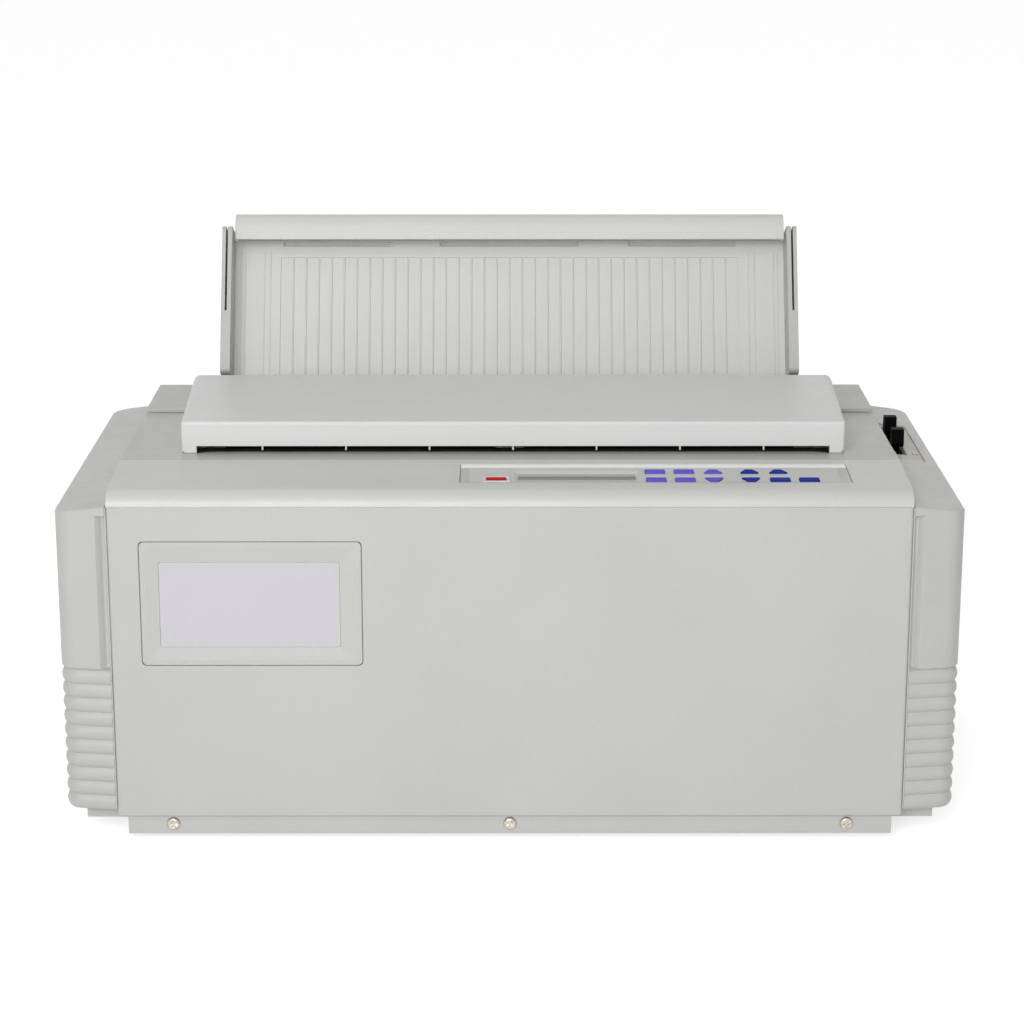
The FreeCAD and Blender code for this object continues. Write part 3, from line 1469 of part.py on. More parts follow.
def bracket(side):
    """Tab bent in from a frame to carry a belt pulley, with its stub or its motor's opening."""
    outer = side * frame_face
    inner = side * (belt_pulley_x - bracket_half)
    return box(min(outer, inner), max(outer, inner), belt_pulley_y - bracket_half,
               belt_pulley_y + bracket_half,
               bracket_low, bracket_low + frame_thick)


def make_left_side_frame():
    x1 = -frame_face
    x0 = x1 - frame_thick
    foot = box(x0 - frame_foot, x1, frame_front, frame_back, floor_top, floor_top + frame_thick)
    tab = bracket(-1).cut(rod_z(bracket_low - overrun, bracket_low + frame_thick + overrun,
                                -belt_pulley_x, belt_pulley_y, pulley_shaft_r + clamp_gap))
    return fuse([frame_plate(x0, x1), foot, tab])


def make_right_side_frame():
    x0 = frame_face
    x1 = x0 + frame_thick
    foot = box(x0, x1 + frame_foot, frame_front, frame_back, floor_top, floor_top + frame_thick)
    stub = rod_z(bracket_low, belt_high + pulley_flange_thick + overrun, belt_pulley_x, belt_pulley_y,
                 pulley_shaft_r)
    idler_pin = rod_x(x0, gear_x1 + overrun, idler_y, idler_z, idler_pin_r)
    plate = frame_plate(x0, x1).cut(rod_x(x0 - overrun, x1 + overrun, pinion_y, pinion_z, motor_boss_r))
    return fuse([plate, foot, bracket(1), stub, idler_pin])


def make_guide_rods():
    """Carriage rails and the tractors' support rod, fixed in the frames."""
    reach_out = frame_face + frame_thick
    return group([
        rod_x(-reach_out, reach_out, rail_y, rail_z, rail_r),
        rod_x(-reach_out, reach_out, guide_y, rail_z, guide_r),
        rod_x(-reach_out, reach_out, tractor_rod_y, tractor_rod_z, tractor_rod_r)])


def make_carriage():
    """Block that runs on both rails, with a fork that holds the belt."""
    block = slab_z(rectangle(-carriage_half, carriage_half, carriage_front, carriage_back, carriage_corner_r),
                   carriage_low, carriage_high)
    strand_y = belt_pulley_y - belt_inner_r - belt_thick / 2
    fork = box(-clamp_half, clamp_half, strand_y - clamp_width / 2, strand_y + clamp_width / 2,
               belt_low - clamp_gap, carriage_low + touch)
    gap = box(-clamp_half - overrun, clamp_half + overrun, strand_y - belt_thick / 2 - clamp_gap,
              strand_y + belt_thick / 2 + clamp_gap, belt_low - overrun, belt_high + clamp_gap)
    span = carriage_half + overrun
    bores = [rod_x(-span, span, rail_y, rail_z, rail_r + running),
             rod_x(-span, span, guide_y, rail_z, guide_r + running), gap]
    return fuse([block, fork]).cut(group(bores))


def make_print_head():
    """Turned aluminium body with cooling fins, a tapering nose for the wires and a mounting foot."""
    fins_end = head_back + head_fin_count * head_fin_pitch
    points = [Vector(0, head_back, 0)]
    for index in range(head_fin_count):
        start = head_back + index * head_fin_pitch
        points += [Vector(head_r, start, 0), Vector(head_r, start + head_fin_thick, 0),
                   Vector(head_root_r, start + head_fin_thick, 0),
                   Vector(head_root_r, start + head_fin_pitch, 0)]
    points += [Vector(head_collar_r, fins_end, 0), Vector(head_nose_r, head_tip, 0), Vector(0, head_tip, 0)]
    outline = Part.Face(Part.makePolygon(points + [points[0]]))
    body = outline.revolve(Vector(0, 0, 0), Vector(0, 1, 0), 360)
    body.translate(Vector(0, 0, platen_z))
    foot = box(-head_foot_half, head_foot_half, head_back, head_back + head_foot_length,
               carriage_high, platen_z - head_root_r + touch)
    return fuse([body, foot])


def make_ribbon_cartridge():
    """Cassette on the carriage with two arms and the ribbon stretched across the nose."""
    body = slab_z(rectangle(-cassette_half, cassette_half, cassette_front, cassette_back, cassette_corner_r),
                  carriage_high + touch, carriage_high + cassette_height)
    arm_low = platen_z - cassette_arm_below
    arm_high = platen_z + cassette_arm_above
    arm_end = ribbon_y + ribbon_thick + touch
    pieces = [body]
    for side in (-1, 1):
        near = side * cassette_arm_in
        far = side * (cassette_arm_in + cassette_arm_width)
        pieces.append(box(min(near, far), max(near, far), cassette_back - overrun, arm_end, arm_low,
                          arm_high))
    pieces.append(box(-cassette_arm_in - touch, cassette_arm_in + touch, ribbon_y, ribbon_y + ribbon_thick,
                      arm_low + ribbon_margin, arm_high - ribbon_margin))
    return fuse(pieces)


def flanged_pulley(x, bore_r):
    low = belt_low - pulley_flange_thick
    high = belt_high + pulley_flange_thick
    drum = rod_z(low, high, x, belt_pulley_y, belt_pulley_r)
    flange_r = belt_pulley_r + pulley_flange
    flanges = [rod_z(low, belt_low - touch, x, belt_pulley_y, flange_r),
               rod_z(belt_high + touch, high, x, belt_pulley_y, flange_r)]
    wheel = fuse([drum] + flanges)
    if bore_r:
        wheel = wheel.cut(rod_z(low - overrun, high + overrun, x, belt_pulley_y, bore_r))
    return wheel


def make_motor_pulley():
    """Toothed-belt pulley with the carriage motor's shaft."""
    shaft = rod_z(bracket_low - motor_bore_depth + touch, belt_high, -belt_pulley_x, belt_pulley_y,
                  pulley_shaft_r)
    return fuse([flanged_pulley(-belt_pulley_x, 0), shaft])


def make_idler_pulley():
    return flanged_pulley(belt_pulley_x, pulley_shaft_r + running)


def belt_ring(radius):
    right = Vector(belt_pulley_x, belt_pulley_y, belt_low)
    left = Vector(-belt_pulley_x, belt_pulley_y, belt_low)
    across = Vector(0, radius, 0)
    along = Vector(radius, 0, 0)
    wire = Part.Wire([
        Part.makeLine(left - across, right - across),
        Part.Arc(right - across, right + along, right + across).toShape(),
        Part.makeLine(right + across, left + across),
        Part.Arc(left + across, left - along, left - across).toShape()])
    return Part.Face(wire).extrude(Vector(0, 0, belt_high - belt_low))


def make_drive_belt():
    return belt_ring(belt_inner_r + belt_thick).cut(belt_ring(belt_inner_r))


def make_carriage_motor():
    """Round motor hung under the left frame's tab."""
    body = rod_z(bracket_low - drive_motor_length, bracket_low, -belt_pulley_x, belt_pulley_y, drive_motor_r)
    foot = bracket_low - drive_motor_length
    cap = rod_z(foot - drive_motor_cap, foot + touch, -belt_pulley_x, belt_pulley_y, drive_motor_cap_r)
    bore = rod_z(bracket_low - motor_bore_depth, bracket_low + overrun,
                 -belt_pulley_x, belt_pulley_y, pulley_shaft_r + running)
    return fuse([body, cap]).cut(bore)


def make_tractor(side):
    """Sprocket tractor: a rounded body with drive pins on top and lugs for its door."""
    x = side * tractor_x
    half = tractor_width / 2
    low = tractor_z - tractor_r
    low_r = tractor_r * edge_round_share
    body = slab_x([
        (tractor_front, low, low_r), (tractor_back, low, low_r),
        (tractor_back, tractor_top, tractor_corner_r), (tractor_front, tractor_top, tractor_corner_r)],
        x - half, x + half)
    pins = []
    for index in range(tractor_pin_count):
        y = tractor_y + (index - (tractor_pin_count - 1) / 2) * tractor_pin_pitch
        pins.append(Part.makeCone(tractor_pin_r, tractor_pin_tip_r, tractor_pin_height + touch,
                                  Vector(x, y, tractor_top - touch), Vector(0, 0, 1)))
    lugs = []
    bores = []
    axis_x = x + side * (half - door_knuckle_r)
    for y0 in (tractor_front + door_lug_inset, tractor_back - door_lug_inset - door_lug):
        lugs.append(box(axis_x - door_knuckle_r, axis_x + door_knuckle_r, y0, y0 + door_lug,
                        tractor_top - touch, door_axis_z))
        lugs.append(rod_y(y0, y0 + door_lug, axis_x, door_axis_z, door_knuckle_r))
        bores.append(rod_y(y0 - overrun, y0 + door_lug + overrun, axis_x, door_axis_z, door_pin_r + running))
    for y, z, radius in ((tractor_y, tractor_z, tractor_shaft_r),
                         (tractor_rod_y, tractor_rod_z, tractor_rod_r)):
        bores.append(rod_x(x - half - overrun, x + half + overrun, y, z, radius + running))
    return fuse([body] + pins + lugs).cut(group(bores))


def make_tractor_door(side):
    """Hinged door that presses the paper's edge onto the pins, slotted over them."""
    x = side * tractor_x
    half = tractor_width / 2
    axis_x = x + side * (half - door_knuckle_r)
    lug_end = tractor_front + door_lug_inset + door_lug
    other_end = tractor_back - door_lug_inset - door_lug
    free_x = x - side * (half - touch)
    leaf_x = axis_x - side * (door_knuckle_r + door_lug_gap)
    leaf = box(min(free_x, leaf_x), max(free_x, leaf_x), tractor_front + door_inset,
               tractor_back - door_inset,
               door_low, door_low + door_thick)
    neck = box(min(leaf_x - side * touch, axis_x), max(leaf_x - side * touch, axis_x),
               lug_end + door_lug_gap, other_end - door_lug_gap, door_low, door_low + door_thick)
    slot_half = (tractor_pin_count - 1) / 2 * tractor_pin_pitch + door_slot / 2
    slot = box(x - door_slot / 2, x + door_slot / 2, tractor_y - slot_half, tractor_y + slot_half,
               door_low - overrun, door_low + door_thick + overrun)
    knuckle = rod_y(lug_end + door_lug_gap, other_end - door_lug_gap, axis_x, door_axis_z, door_knuckle_r)
    pin = rod_y(lug_end - door_lug, other_end + door_lug, axis_x, door_axis_z, door_pin_r)
    return fuse([leaf, neck, knuckle, pin]).cut(slot)


def make_main_board():
    """Circuit board on four standoffs, with its chips."""
    low = floor_top + board_stand
    high = low + board_thick
    pieces = [box(board_left, board_right, board_front, board_back, low, high)]
    for x in (board_left + board_inset, board_right - board_inset):
        for y in (board_front + board_inset, board_back - board_inset):
            pieces.append(rod_z(floor_top, low + touch, x, y, board_stand_r))
    span_x = (board_right - board_left) / (chip_columns + 1)
    span_y = (board_back - board_front) / (chip_rows + 1)
    for column in range(chip_columns):
        for row in range(chip_rows):
            x = board_left + (column + 1) * span_x
            y = board_front + (row + 1) * span_y
            pieces.append(box(x - chip_width / 2, x + chip_width / 2, y - chip_length / 2,
                              y + chip_length / 2,
                              high - touch, high + chip_height))
    return fuse(pieces)


def make_power_supply():
    """Power supply in a sheet-metal case with a row of cooling slots."""
    top = floor_top + supply_height
    case = box(supply_left, supply_right, supply_front, supply_back, floor_top, top)
    slots = []
    middle_x = (supply_left + supply_right) / 2
    for index in range(supply_slot_count):
        x = middle_x + (index - (supply_slot_count - 1) / 2) * supply_slot_pitch
        slots.append(box(x - supply_slot / 2, x + supply_slot / 2, supply_front + supply_slot_inset,
                         supply_back - supply_slot_inset, top - supply_slot_depth, top + overrun))
    return case.cut(group(slots))


save("base_pan", make_base_pan())
save("base_screws", make_base_screws())
save("rubber_feet", make_feet())
save("front_panel", make_front_panel())
save("name_bezel", make_name_bezel())
save("name_insert", make_name_insert())
side_housing = make_side_housing()
save("left_side_housing", mirrored(side_housing))
save("right_side_housing", side_housing.cut(lever_opening()))
save("lever_plate", make_lever_plate())
save("thickness_lever", make_lever(thickness_lever_y))
save("feed_lever", make_lever(feed_lever_y))
save("control_band", make_control_band())
save("operator_plate", make_operator_plate())
save("display_window", make_display_window())
save("status_lamp", make_status_lamp())
for key_name, key_kind, key_x, key_y in key_places():
    save(key_name, make_key(key_kind, key_x, key_y))
save("front_deck", make_front_deck())
save("rear_deck", make_rear_deck())
save("exit_cover", make_exit_cover())
save("rear_cover", make_rear_cover())
save("cover_wings", make_cover_wings())
save("rear_wall", make_rear_wall())
save("power_inlet", make_power_inlet())
save("power_switch", make_power_switch())
save("interface_connector", make_interface_connector())
save("fan_housing", make_fan_housing())
save("fan_rotor", make_fan_rotor())
save("left_side_frame", make_left_side_frame())
save("right_side_frame", make_right_side_frame())
save("guide_rods", make_guide_rods())
save("platen_roller", make_platen_roller())
save("platen_shaft", make_platen_shaft())
save("platen_gear", make_platen_gear())
save("feed_pinion", make_feed_pinion())
save("idler_gear", make_idler_gear())
save("tractor_shaft", make_tractor_shaft())
save("feed_motor", make_feed_motor())
save("left_tractor", make_tractor(-1))
save("right_tractor", make_tractor(1))
save("left_tractor_door", make_tractor_door(-1))
save("right_tractor_door", make_tractor_door(1))
save("carriage", make_carriage())
save("print_head", make_print_head())
save("ribbon_cartridge", make_ribbon_cartridge())
save("motor_pulley", make_motor_pulley())
save("idler_pulley", make_idler_pulley())
save("drive_belt", make_drive_belt())
save("carriage_motor", make_carriage_motor())
save("main_board", make_main_board())
save("power_supply", make_power_supply())
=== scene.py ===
import json
import math
import bmesh
import bpy
from mathutils import Matrix, Vector


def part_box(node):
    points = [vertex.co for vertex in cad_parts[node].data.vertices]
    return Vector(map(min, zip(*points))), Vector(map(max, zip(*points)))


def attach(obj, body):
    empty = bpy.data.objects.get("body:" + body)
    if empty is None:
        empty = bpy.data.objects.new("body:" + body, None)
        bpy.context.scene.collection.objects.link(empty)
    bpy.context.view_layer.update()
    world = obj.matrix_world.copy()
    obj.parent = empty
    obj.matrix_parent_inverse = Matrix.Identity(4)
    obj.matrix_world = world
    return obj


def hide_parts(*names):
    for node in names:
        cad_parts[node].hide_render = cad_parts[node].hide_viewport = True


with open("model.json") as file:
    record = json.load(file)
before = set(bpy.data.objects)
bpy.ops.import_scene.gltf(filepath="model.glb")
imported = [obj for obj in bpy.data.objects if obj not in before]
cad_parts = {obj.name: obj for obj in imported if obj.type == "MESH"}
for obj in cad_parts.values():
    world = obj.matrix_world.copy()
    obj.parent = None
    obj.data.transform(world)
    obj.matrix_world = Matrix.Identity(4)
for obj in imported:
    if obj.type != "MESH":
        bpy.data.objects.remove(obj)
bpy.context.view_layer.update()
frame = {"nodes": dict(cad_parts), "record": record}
nodes = frame["nodes"]
slot_of = {part["node"]: part["material_slot"] for part in frame["record"]["subparts"]}
MM = 0.001
across, ahead, up = Vector((1, 0, 0)), Vector((0, -1, 0)), Vector((0, 0, 1))


def linear(hex_colour):
    """Turns an sRGB hex colour into the linear one that a shader takes."""
    channels = [int(hex_colour[place:place + 2], 16) / 255 for place in (1, 3, 5)]
    curve = [c / 12.92 if c <= 0.04045 else ((c + 0.055) / 1.055) ** 2.4 for c in channels]
    return (*curve, 1.0)


# Nodes of materials

# Between these lie most values of a noise
NOISE_LOW, NOISE_HIGH = 0.3, 0.7


def add(material, kind, settings=None, links=None, **choices):
    """Adds a node with its choices, the values of its sockets and what feeds them."""
    node = material.node_tree.nodes.new(kind)
    for choice, value in choices.items():
        setattr(node, choice, value)
    for socket, value in (settings or {}).items():
        node.inputs[socket].default_value = value
    for socket, source in (links or {}).items():
        material.node_tree.links.new(source, node.inputs[socket])
    return node


def begin(name, **sockets):
    """A new material with its shader's even values set, and the object's own coordinates."""
    material = bpy.data.materials.new(name)
    material.use_nodes = True
    shader = material.node_tree.nodes["Principled BSDF"]
    for socket, value in sockets.items():
        shader.inputs[socket.replace("_", " ")].default_value = value
    return material, shader, add(material, "ShaderNodeTexCoord").outputs["Object"]


def close(material, shader, colour, rough, normal):
    """Feeds the finished colour, roughness and normal to the shader."""
    for socket, source in (("Base Color", colour), ("Roughness", rough), ("Normal", normal)):
        material.node_tree.links.new(source, shader.inputs[socket])
    return material


def noise(material, place, size, detail, distortion=0.0):
    """Noise with features of a size in mm."""
    return add(material, "ShaderNodeTexNoise",
               {"Scale": 1 / (size * MM), "Detail": detail, "Distortion": distortion},
               {"Vector": place}).outputs["Fac"]


def drawn_noise(material, place, lay, detail):
    """Noise drawn out along the axes to the sizes that lay gives in mm."""
    drawn = add(material, "ShaderNodeMapping",
                {"Scale": tuple(1 / (size * MM) for size in lay)}, {"Vector": place})
    return add(material, "ShaderNodeTexNoise", {"Scale": 1.0, "Detail": detail},
               {"Vector": drawn.outputs[0]}).outputs["Fac"]


def spread(material, value, start, end, low, high):
    """A value between start and end, spread from low to high and held there beyond them."""
    return add(material, "ShaderNodeMapRange",
               {"From Min": start, "From Max": end, "To Min": low, "To Max": high},
               {"Value": value}).outputs["Result"]


def reckon(material, operation, *terms):
    """One step of arithmetic on numbers and on sockets that feed them."""
    node = add(material, "ShaderNodeMath", operation=operation)
    for socket, term in zip(node.inputs, terms):
        if isinstance(term, (int, float)):
            socket.default_value = term
        else:
            material.node_tree.links.new(term, socket)
    return node.outputs[0]


def mixed(material, first, second, share):
    """Colour from the first to the second, each a hex value or the socket that feeds it."""
    settings, links = {}, {"Factor": share}
    for socket, colour in (("A", first), ("B", second)):
        if isinstance(colour, str):
            settings[socket] = linear(colour)
        else:
            links[socket] = colour
    return add(material, "ShaderNodeMix", settings, links, data_type="RGBA").outputs["Result"]


def scaled(material, colour, share):
    """A colour times a share."""
    return add(material, "ShaderNodeVectorMath", None, {0: colour, "Scale": share},
               operation="SCALE").outputs["Vector"]


def softened(material, radius):
    """The normal with edges rounded to a radius in mm."""
    return add(material, "ShaderNodeBevel", {"Radius": radius * MM}, samples=6).outputs[0]


def rubbed(material, normal, most):
    """How much a place has been rubbed for lying on an edge, where the softened normal turns."""
    face = add(material, "ShaderNodeNewGeometry")
    turn = add(material, "ShaderNodeVectorMath", None, {0: normal, 1: face.outputs["True Normal"]},
               operation="DOT_PRODUCT")
    flat, edge = 0.998, 0.92
    return spread(material, turn.outputs["Value"], flat, edge, 0.0, most)


def dented(material, strength, depth, height, normal):
    """The normal with a relief of a depth in mm on it."""
    return add(material, "ShaderNodeBump", {"Strength": strength, "Distance": depth * MM},
               {"Height": height, "Normal": normal}).outputs[0]


def axes_of(material, place):
    """The coordinates one by one."""
    return add(material, "ShaderNodeSeparateXYZ", None, {"Vector": place}).outputs


def seen_directly(owner):
    """1 for what the camera sees, also by reflection or through glass, 0 for bounced light."""
    rays = add(owner, "ShaderNodeLightPath").outputs
    seen = reckon(owner, "MAXIMUM", rays["Is Camera Ray"], rays["Is Glossy Ray"])
    return reckon(owner, "MAXIMUM", seen, rays["Is Transmission Ray"])


# Plastics

def moulded_plastic(name, colour, worn, rough, grain=0.9, relief=0.05, edge=0.6, shine=0.5):
    """Moulded plastic: satin grain of an eroded mould, a shade that drifts, paler rubbed edges."""
    material, shader, place = begin(name, IOR=1.53, Specular_IOR_Level=shine)
    # The mould's grain is 0.3 mm wide and drawn two or three times as coarse, so that it shows
    fine = noise(material, place, grain, 3.0)
    # Flow of the melt shifts the shade over a hand's width
    flow = noise(material, place, 110, 2.0)
    # Handling leaves faint smears a few millimetres wide
    smear = noise(material, place, 14, 4.0, distortion=0.8)
    normal = softened(material, edge)
    drift = spread(material, flow, NOISE_LOW, NOISE_HIGH, 0.0, 0.22)
    shade = mixed(material, colour, worn, drift)
    # The grain's pits hold a trace of dust
    pits = spread(material, fine, 0.35, 0.6, 0.955, 1.0)
    dusty = scaled(material, shade, pits)
    edged = mixed(material, dusty, worn, rubbed(material, normal, 0.55))
    gloss = spread(material, smear, NOISE_LOW, NOISE_HIGH, rough + 0.06, rough - 0.06)
    bump = dented(material, 0.3, relief, fine, normal)
    return close(material, shader, edged, gloss, bump)


def printed_foil():
    """Satin foil over the keys, with a mid-grey printed field and a painted highlight, a white
    band, behind it.
    """
    material, shader, place = begin("printed_foil", IOR=1.58)
    low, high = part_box("operator_plate")
    left, right = low[0] + 6.5 * MM, high[0] - 7.6 * MM
    front, back = low[1] + 3.0 * MM, high[1] - 8.5 * MM
    axes = axes_of(material, place)
    field = reckon(material, "GREATER_THAN", axes["X"], left)
    for axis, test, edge in (("X", "LESS_THAN", right), ("Y", "GREATER_THAN", front),
                             ("Y", "LESS_THAN", back)):
        inside = reckon(material, test, axes[axis], edge)
        field = reckon(material, "MULTIPLY", field, inside)
    # Painted highlight: behind the printed field the foil is white, standing in for a lit edge;
    # elsewhere outside the field the border has grey ink
    painted_highlight_band = reckon(material, "GREATER_THAN", axes["Y"], back)
    border_ink_and_highlight = mixed(material, "#BDBDB8", "#FFFFFF", painted_highlight_band)
    foil_ink_and_highlight = mixed(material, border_ink_and_highlight, "#CACAC6", field)
    # Screen print leaves a 0.4 mm mottle, drawn 0.8 mm wide to show
    mottle = noise(material, place, 0.8, 2.0)
    colour = scaled(material, foil_ink_and_highlight, spread(material, mottle, 0, 1, 0.94, 1.04))
    gloss = spread(material, mottle, 0, 1, 0.34, 0.42)
    bump = dented(material, 0.15, 0.03, mottle, softened(material, 0.3))
    return close(material, shader, colour, gloss, bump)


def tinted_acrylic(name, colour, deep_tint_and_shade, rough, painted_shade_line=None, shine=0.5):
    """Acrylic window or lens: glossy, its tint deeper in random places, with painted shade along a
    line where one is given, and fine wiping marks.
    """
    material, shader, place = begin(name, IOR=1.49, Specular_IOR_Level=shine)
    # Wiping marks are hairlines and are drawn 0.25 mm wide so that they show
    wiped = drawn_noise(material, place, (25, 0.25, 0.25), 2.0)
    if painted_shade_line is None:
        depth = noise(material, place, 9, 2.0)
    else:
        # Painted shade: the window is darkened in a band along the given line, fully within 3.4 mm
        # of it and fading out by 5.2 mm
        shade_core_half, shade_edge_half = 3.4 * MM, 5.2 * MM
        off = reckon(material, "SUBTRACT", axes_of(material, place)["Y"], painted_shade_line)
        away = reckon(material, "ABSOLUTE", off)
        depth = spread(material, away, shade_core_half, shade_edge_half, 1.0, 0.0)
    # The deeper colour is real tint where it drifts at random, and painted shade where it follows
    # the line
    shade = mixed(material, colour, deep_tint_and_shade, depth)
    gloss = spread(material, wiped, 0.4, 0.7, rough, rough + 0.12)
    bump = dented(material, 0.08, 0.02, wiped, softened(material, 0.25))
    return close(material, shader, shade, gloss, bump)


# Metals

def worked_metal(name, colour, tarnish, rough, lay, cloud=30, relief=0.02, edge=0.3):
    """Metal with clouds of tarnish and its last tool's lines, whose size lay gives in mm."""
    material, shader, place = begin(name, Metallic=1.0)
    lines = drawn_noise(material, place, lay, 3.0)
    clouds = noise(material, place, cloud, 5.0)
    dull = spread(material, clouds, 0.4, 0.7, 0.0, 0.6)
    shade = mixed(material, colour, tarnish, dull)
    normal = softened(material, edge)
    bright = mixed(material, shade, colour, rubbed(material, normal, 0.7))
    gloss = spread(material, lines, NOISE_LOW, NOISE_HIGH, rough, rough + 0.14)
    bump = dented(material, 0.2, relief, lines, normal)
    return close(material, shader, bright, gloss, bump)


# Rubber

def moulded_rubber(name, colour, bloom, rough, lay, relief=0.06):
    """Matt black rubber, greyed by a dusty bloom, with the lines of its grinding or its mould."""
    material, shader, place = begin(name, IOR=1.52, Specular_IOR_Level=0.08)
    lines = drawn_noise(material, place, lay, 3.0)
    patches = noise(material, place, 22, 4.0)
    greyed = spread(material, patches, 0.4, 0.75, 0.0, 0.5)
    shade = mixed(material, colour, bloom, greyed)
    normal = softened(material, 0.4)
    worn = mixed(material, shade, bloom, rubbed(material, normal, 0.4))
    gloss = spread(material, lines, 0, 1, rough - 0.08, rough + 0.08)
    bump = dented(material, 0.35, relief, lines, normal)
    return close(material, shader, worn, gloss, bump)


# Circuit board

def solder_masked_board():
    """Board under green lacquer, with copper tracks showing through and black chips on it."""
    material, shader, place = begin("solder_masked_board", IOR=1.5)
    chip_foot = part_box("main_board")[1][2] - 2.9 * MM
    chip = reckon(material, "GREATER_THAN", axes_of(material, place)["Z"], chip_foot)
    # Tracks lie 2.54 mm apart and are drawn twice as coarse so that they show; at scale 1 a wave
    # takes 0.314 m. In cells 18 mm wide they run one way or the other.
    wave_scale = 0.314 / (2.54 * MM) / 2
    one_way, other_way = (
        add(material, "ShaderNodeTexWave", {"Scale": wave_scale, "Distortion": 0.0},
            {"Vector": place}, bands_direction=axis, wave_profile="SIN").outputs["Fac"]
        for axis in "XY")
    cells = add(material, "ShaderNodeTexVoronoi", {"Scale": 1 / (18 * MM)}, {"Vector": place},
                distance="CHEBYCHEV")
    tint = add(material, "ShaderNodeSeparateColor", None, {"Color": cells.outputs["Color"]})
    pick = reckon(material, "GREATER_THAN", tint.outputs[0], 0.5)
    route = add(material, "ShaderNodeMix", None, {"Factor": pick, "A": one_way, "B": other_way},
                data_type="FLOAT")
    track = reckon(material, "GREATER_THAN", route.outputs["Result"], 0.62)
    lacquer = mixed(material, "#0E3B22", "#2A6A3C", track)
    colour = mixed(material, lacquer, "#1B1B1C", chip)
    speck = noise(material, place, 0.7, 2.0)
    gloss = spread(material, speck, 0, 1, 0.25, 0.5)
    bump = dented(material, 0.4, 0.05, track, softened(material, 0.2))
    return close(material, shader, colour, gloss, bump)


# Line of the display window's painted shade, 12 mm in from the window's back edge
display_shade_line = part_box("display_window")[1][1] - 12 * MM
finishes = {
    # Cabinet, covers and what shows in the photograph
    "cabinet_plastic": moulded_plastic("cabinet_abs", "#C6C6C3", "#D8D8D5", 0.36, edge=0.9),
    # A darker copy of the cabinet's plastic: painted shade on the deck's top, which the lamps
    # light less
    "deck_plastic": moulded_plastic("deck_abs_painted_shade", "#BBBBB6", "#CFCFCB", 0.38, edge=0.9),
    "lid_plastic": moulded_plastic("lid_abs", "#E0E0DF", "#EAEAE9", 0.42, edge=0.9),
    "cover_plastic": moulded_plastic("cover_abs", "#D8D8D4", "#E2E2DF", 0.40),
    "name_insert": moulded_plastic("satin_polycarbonate", "#CFCDD2", "#D8D6DA", 0.46, grain=0.6,
                                   relief=0.02),
    "operator_sheet": printed_foil(),
    # The display window carries painted shade along a line
    "display_glass": tinted_acrylic("smoked_acrylic", "#B4B4B0", "#6E6E6B", 0.2,
                                    painted_shade_line=display_shade_line),
    "lamp_red": tinted_acrylic("red_lamp_lens", "#D2001A", "#B00014", 0.4, shine=0.05),
    "key_violet": moulded_plastic("violet_key_abs", "#665CDA", "#857DE4", 0.5, grain=0.6, edge=0.3,
                                  shine=0.05),
    "key_blue": moulded_plastic("blue_key_abs", "#00289C", "#0E3DAA", 0.5, grain=0.6, edge=0.3,
                                shine=0.05),
    "lever_black": moulded_plastic("lever_acetal", "#020202", "#0C0C0D", 0.5, grain=0.6, edge=0.4,
                                   shine=0.04),
    "lever_plate": moulded_plastic("cream_abs", "#C0BDAC", "#D0CDBF", 0.42, edge=0.5),
    "screw_steel": worked_metal("nickel_plated_screws", "#C9C4BA", "#8C867C", 0.22,
                                (2.0, 2.0, 0.3), cloud=3),
    # Inside and at the back
    "zinc_plated_steel": worked_metal("zinc_plated_sheet", "#B9BCC0", "#8E9196", 0.30,
                                      (60, 0.5, 0.5), cloud=14),
    "ground_steel": worked_metal("ground_steel_rod", "#C6C8CB", "#9A9CA0", 0.14, (0.35, 8, 8),
                                 cloud=60, edge=0.2),
    "platen_rubber": moulded_rubber("ground_nitrile_rubber", "#1E1F21", "#3A3C3F", 0.62,
                                    (0.5, 6, 6)),
    "foot_rubber": moulded_rubber("foot_rubber", "#17171A", "#303033", 0.75, (1.2, 1.2, 1.2)),
    "belt_rubber": moulded_rubber("neoprene_belt", "#18181A", "#2C2C2F", 0.66, (1.0, 1.0, 3.0)),
    "gear_acetal": moulded_plastic("natural_acetal", "#DEDACB", "#EAE7DC", 0.33, grain=0.6,
                                   edge=0.25),
    "tractor_plastic": moulded_plastic("glass_filled_nylon", "#3A3D42", "#5A5D62", 0.5, grain=0.7,
                                       edge=0.35),
    "carriage_alloy": worked_metal("die_cast_aluminium", "#A9ABAD", "#7E8083", 0.42,
                                   (0.9, 0.9, 0.9), cloud=20, relief=0.05),
    "ribbon_black": moulded_plastic("cassette_polystyrene", "#1D1E20", "#3B3C3F", 0.28, grain=0.7,
                                    edge=0.5),
    "motor_black": worked_metal("lacquered_motor_steel", "#4A4B4F", "#2C2D30", 0.38,
                                (1.5, 1.5, 12), cloud=25),
    "pulley_alloy": worked_metal("turned_aluminium", "#C9CACC", "#A4A6A9", 0.2, (3, 3, 0.35),
                                 cloud=12, edge=0.2),
    "fan_black": moulded_plastic("fan_thermoplastic", "#17181A", "#343538", 0.42, grain=0.6,
                                 edge=0.4),
    "inlet_black": moulded_plastic("inlet_phenolic", "#111113", "#2B2B2E", 0.3, grain=0.6,
                                   edge=0.35),
    "port_steel": worked_metal("tin_plated_shell", "#C3C0B6", "#938F84", 0.26, (12, 0.4, 0.4),
                               cloud=6),
    "board_green": solder_masked_board(),
    "supply_case": worked_metal("galvanised_case", "#B4B7BA", "#8D9094", 0.34, (25, 0.8, 25),
                                cloud=9),
}
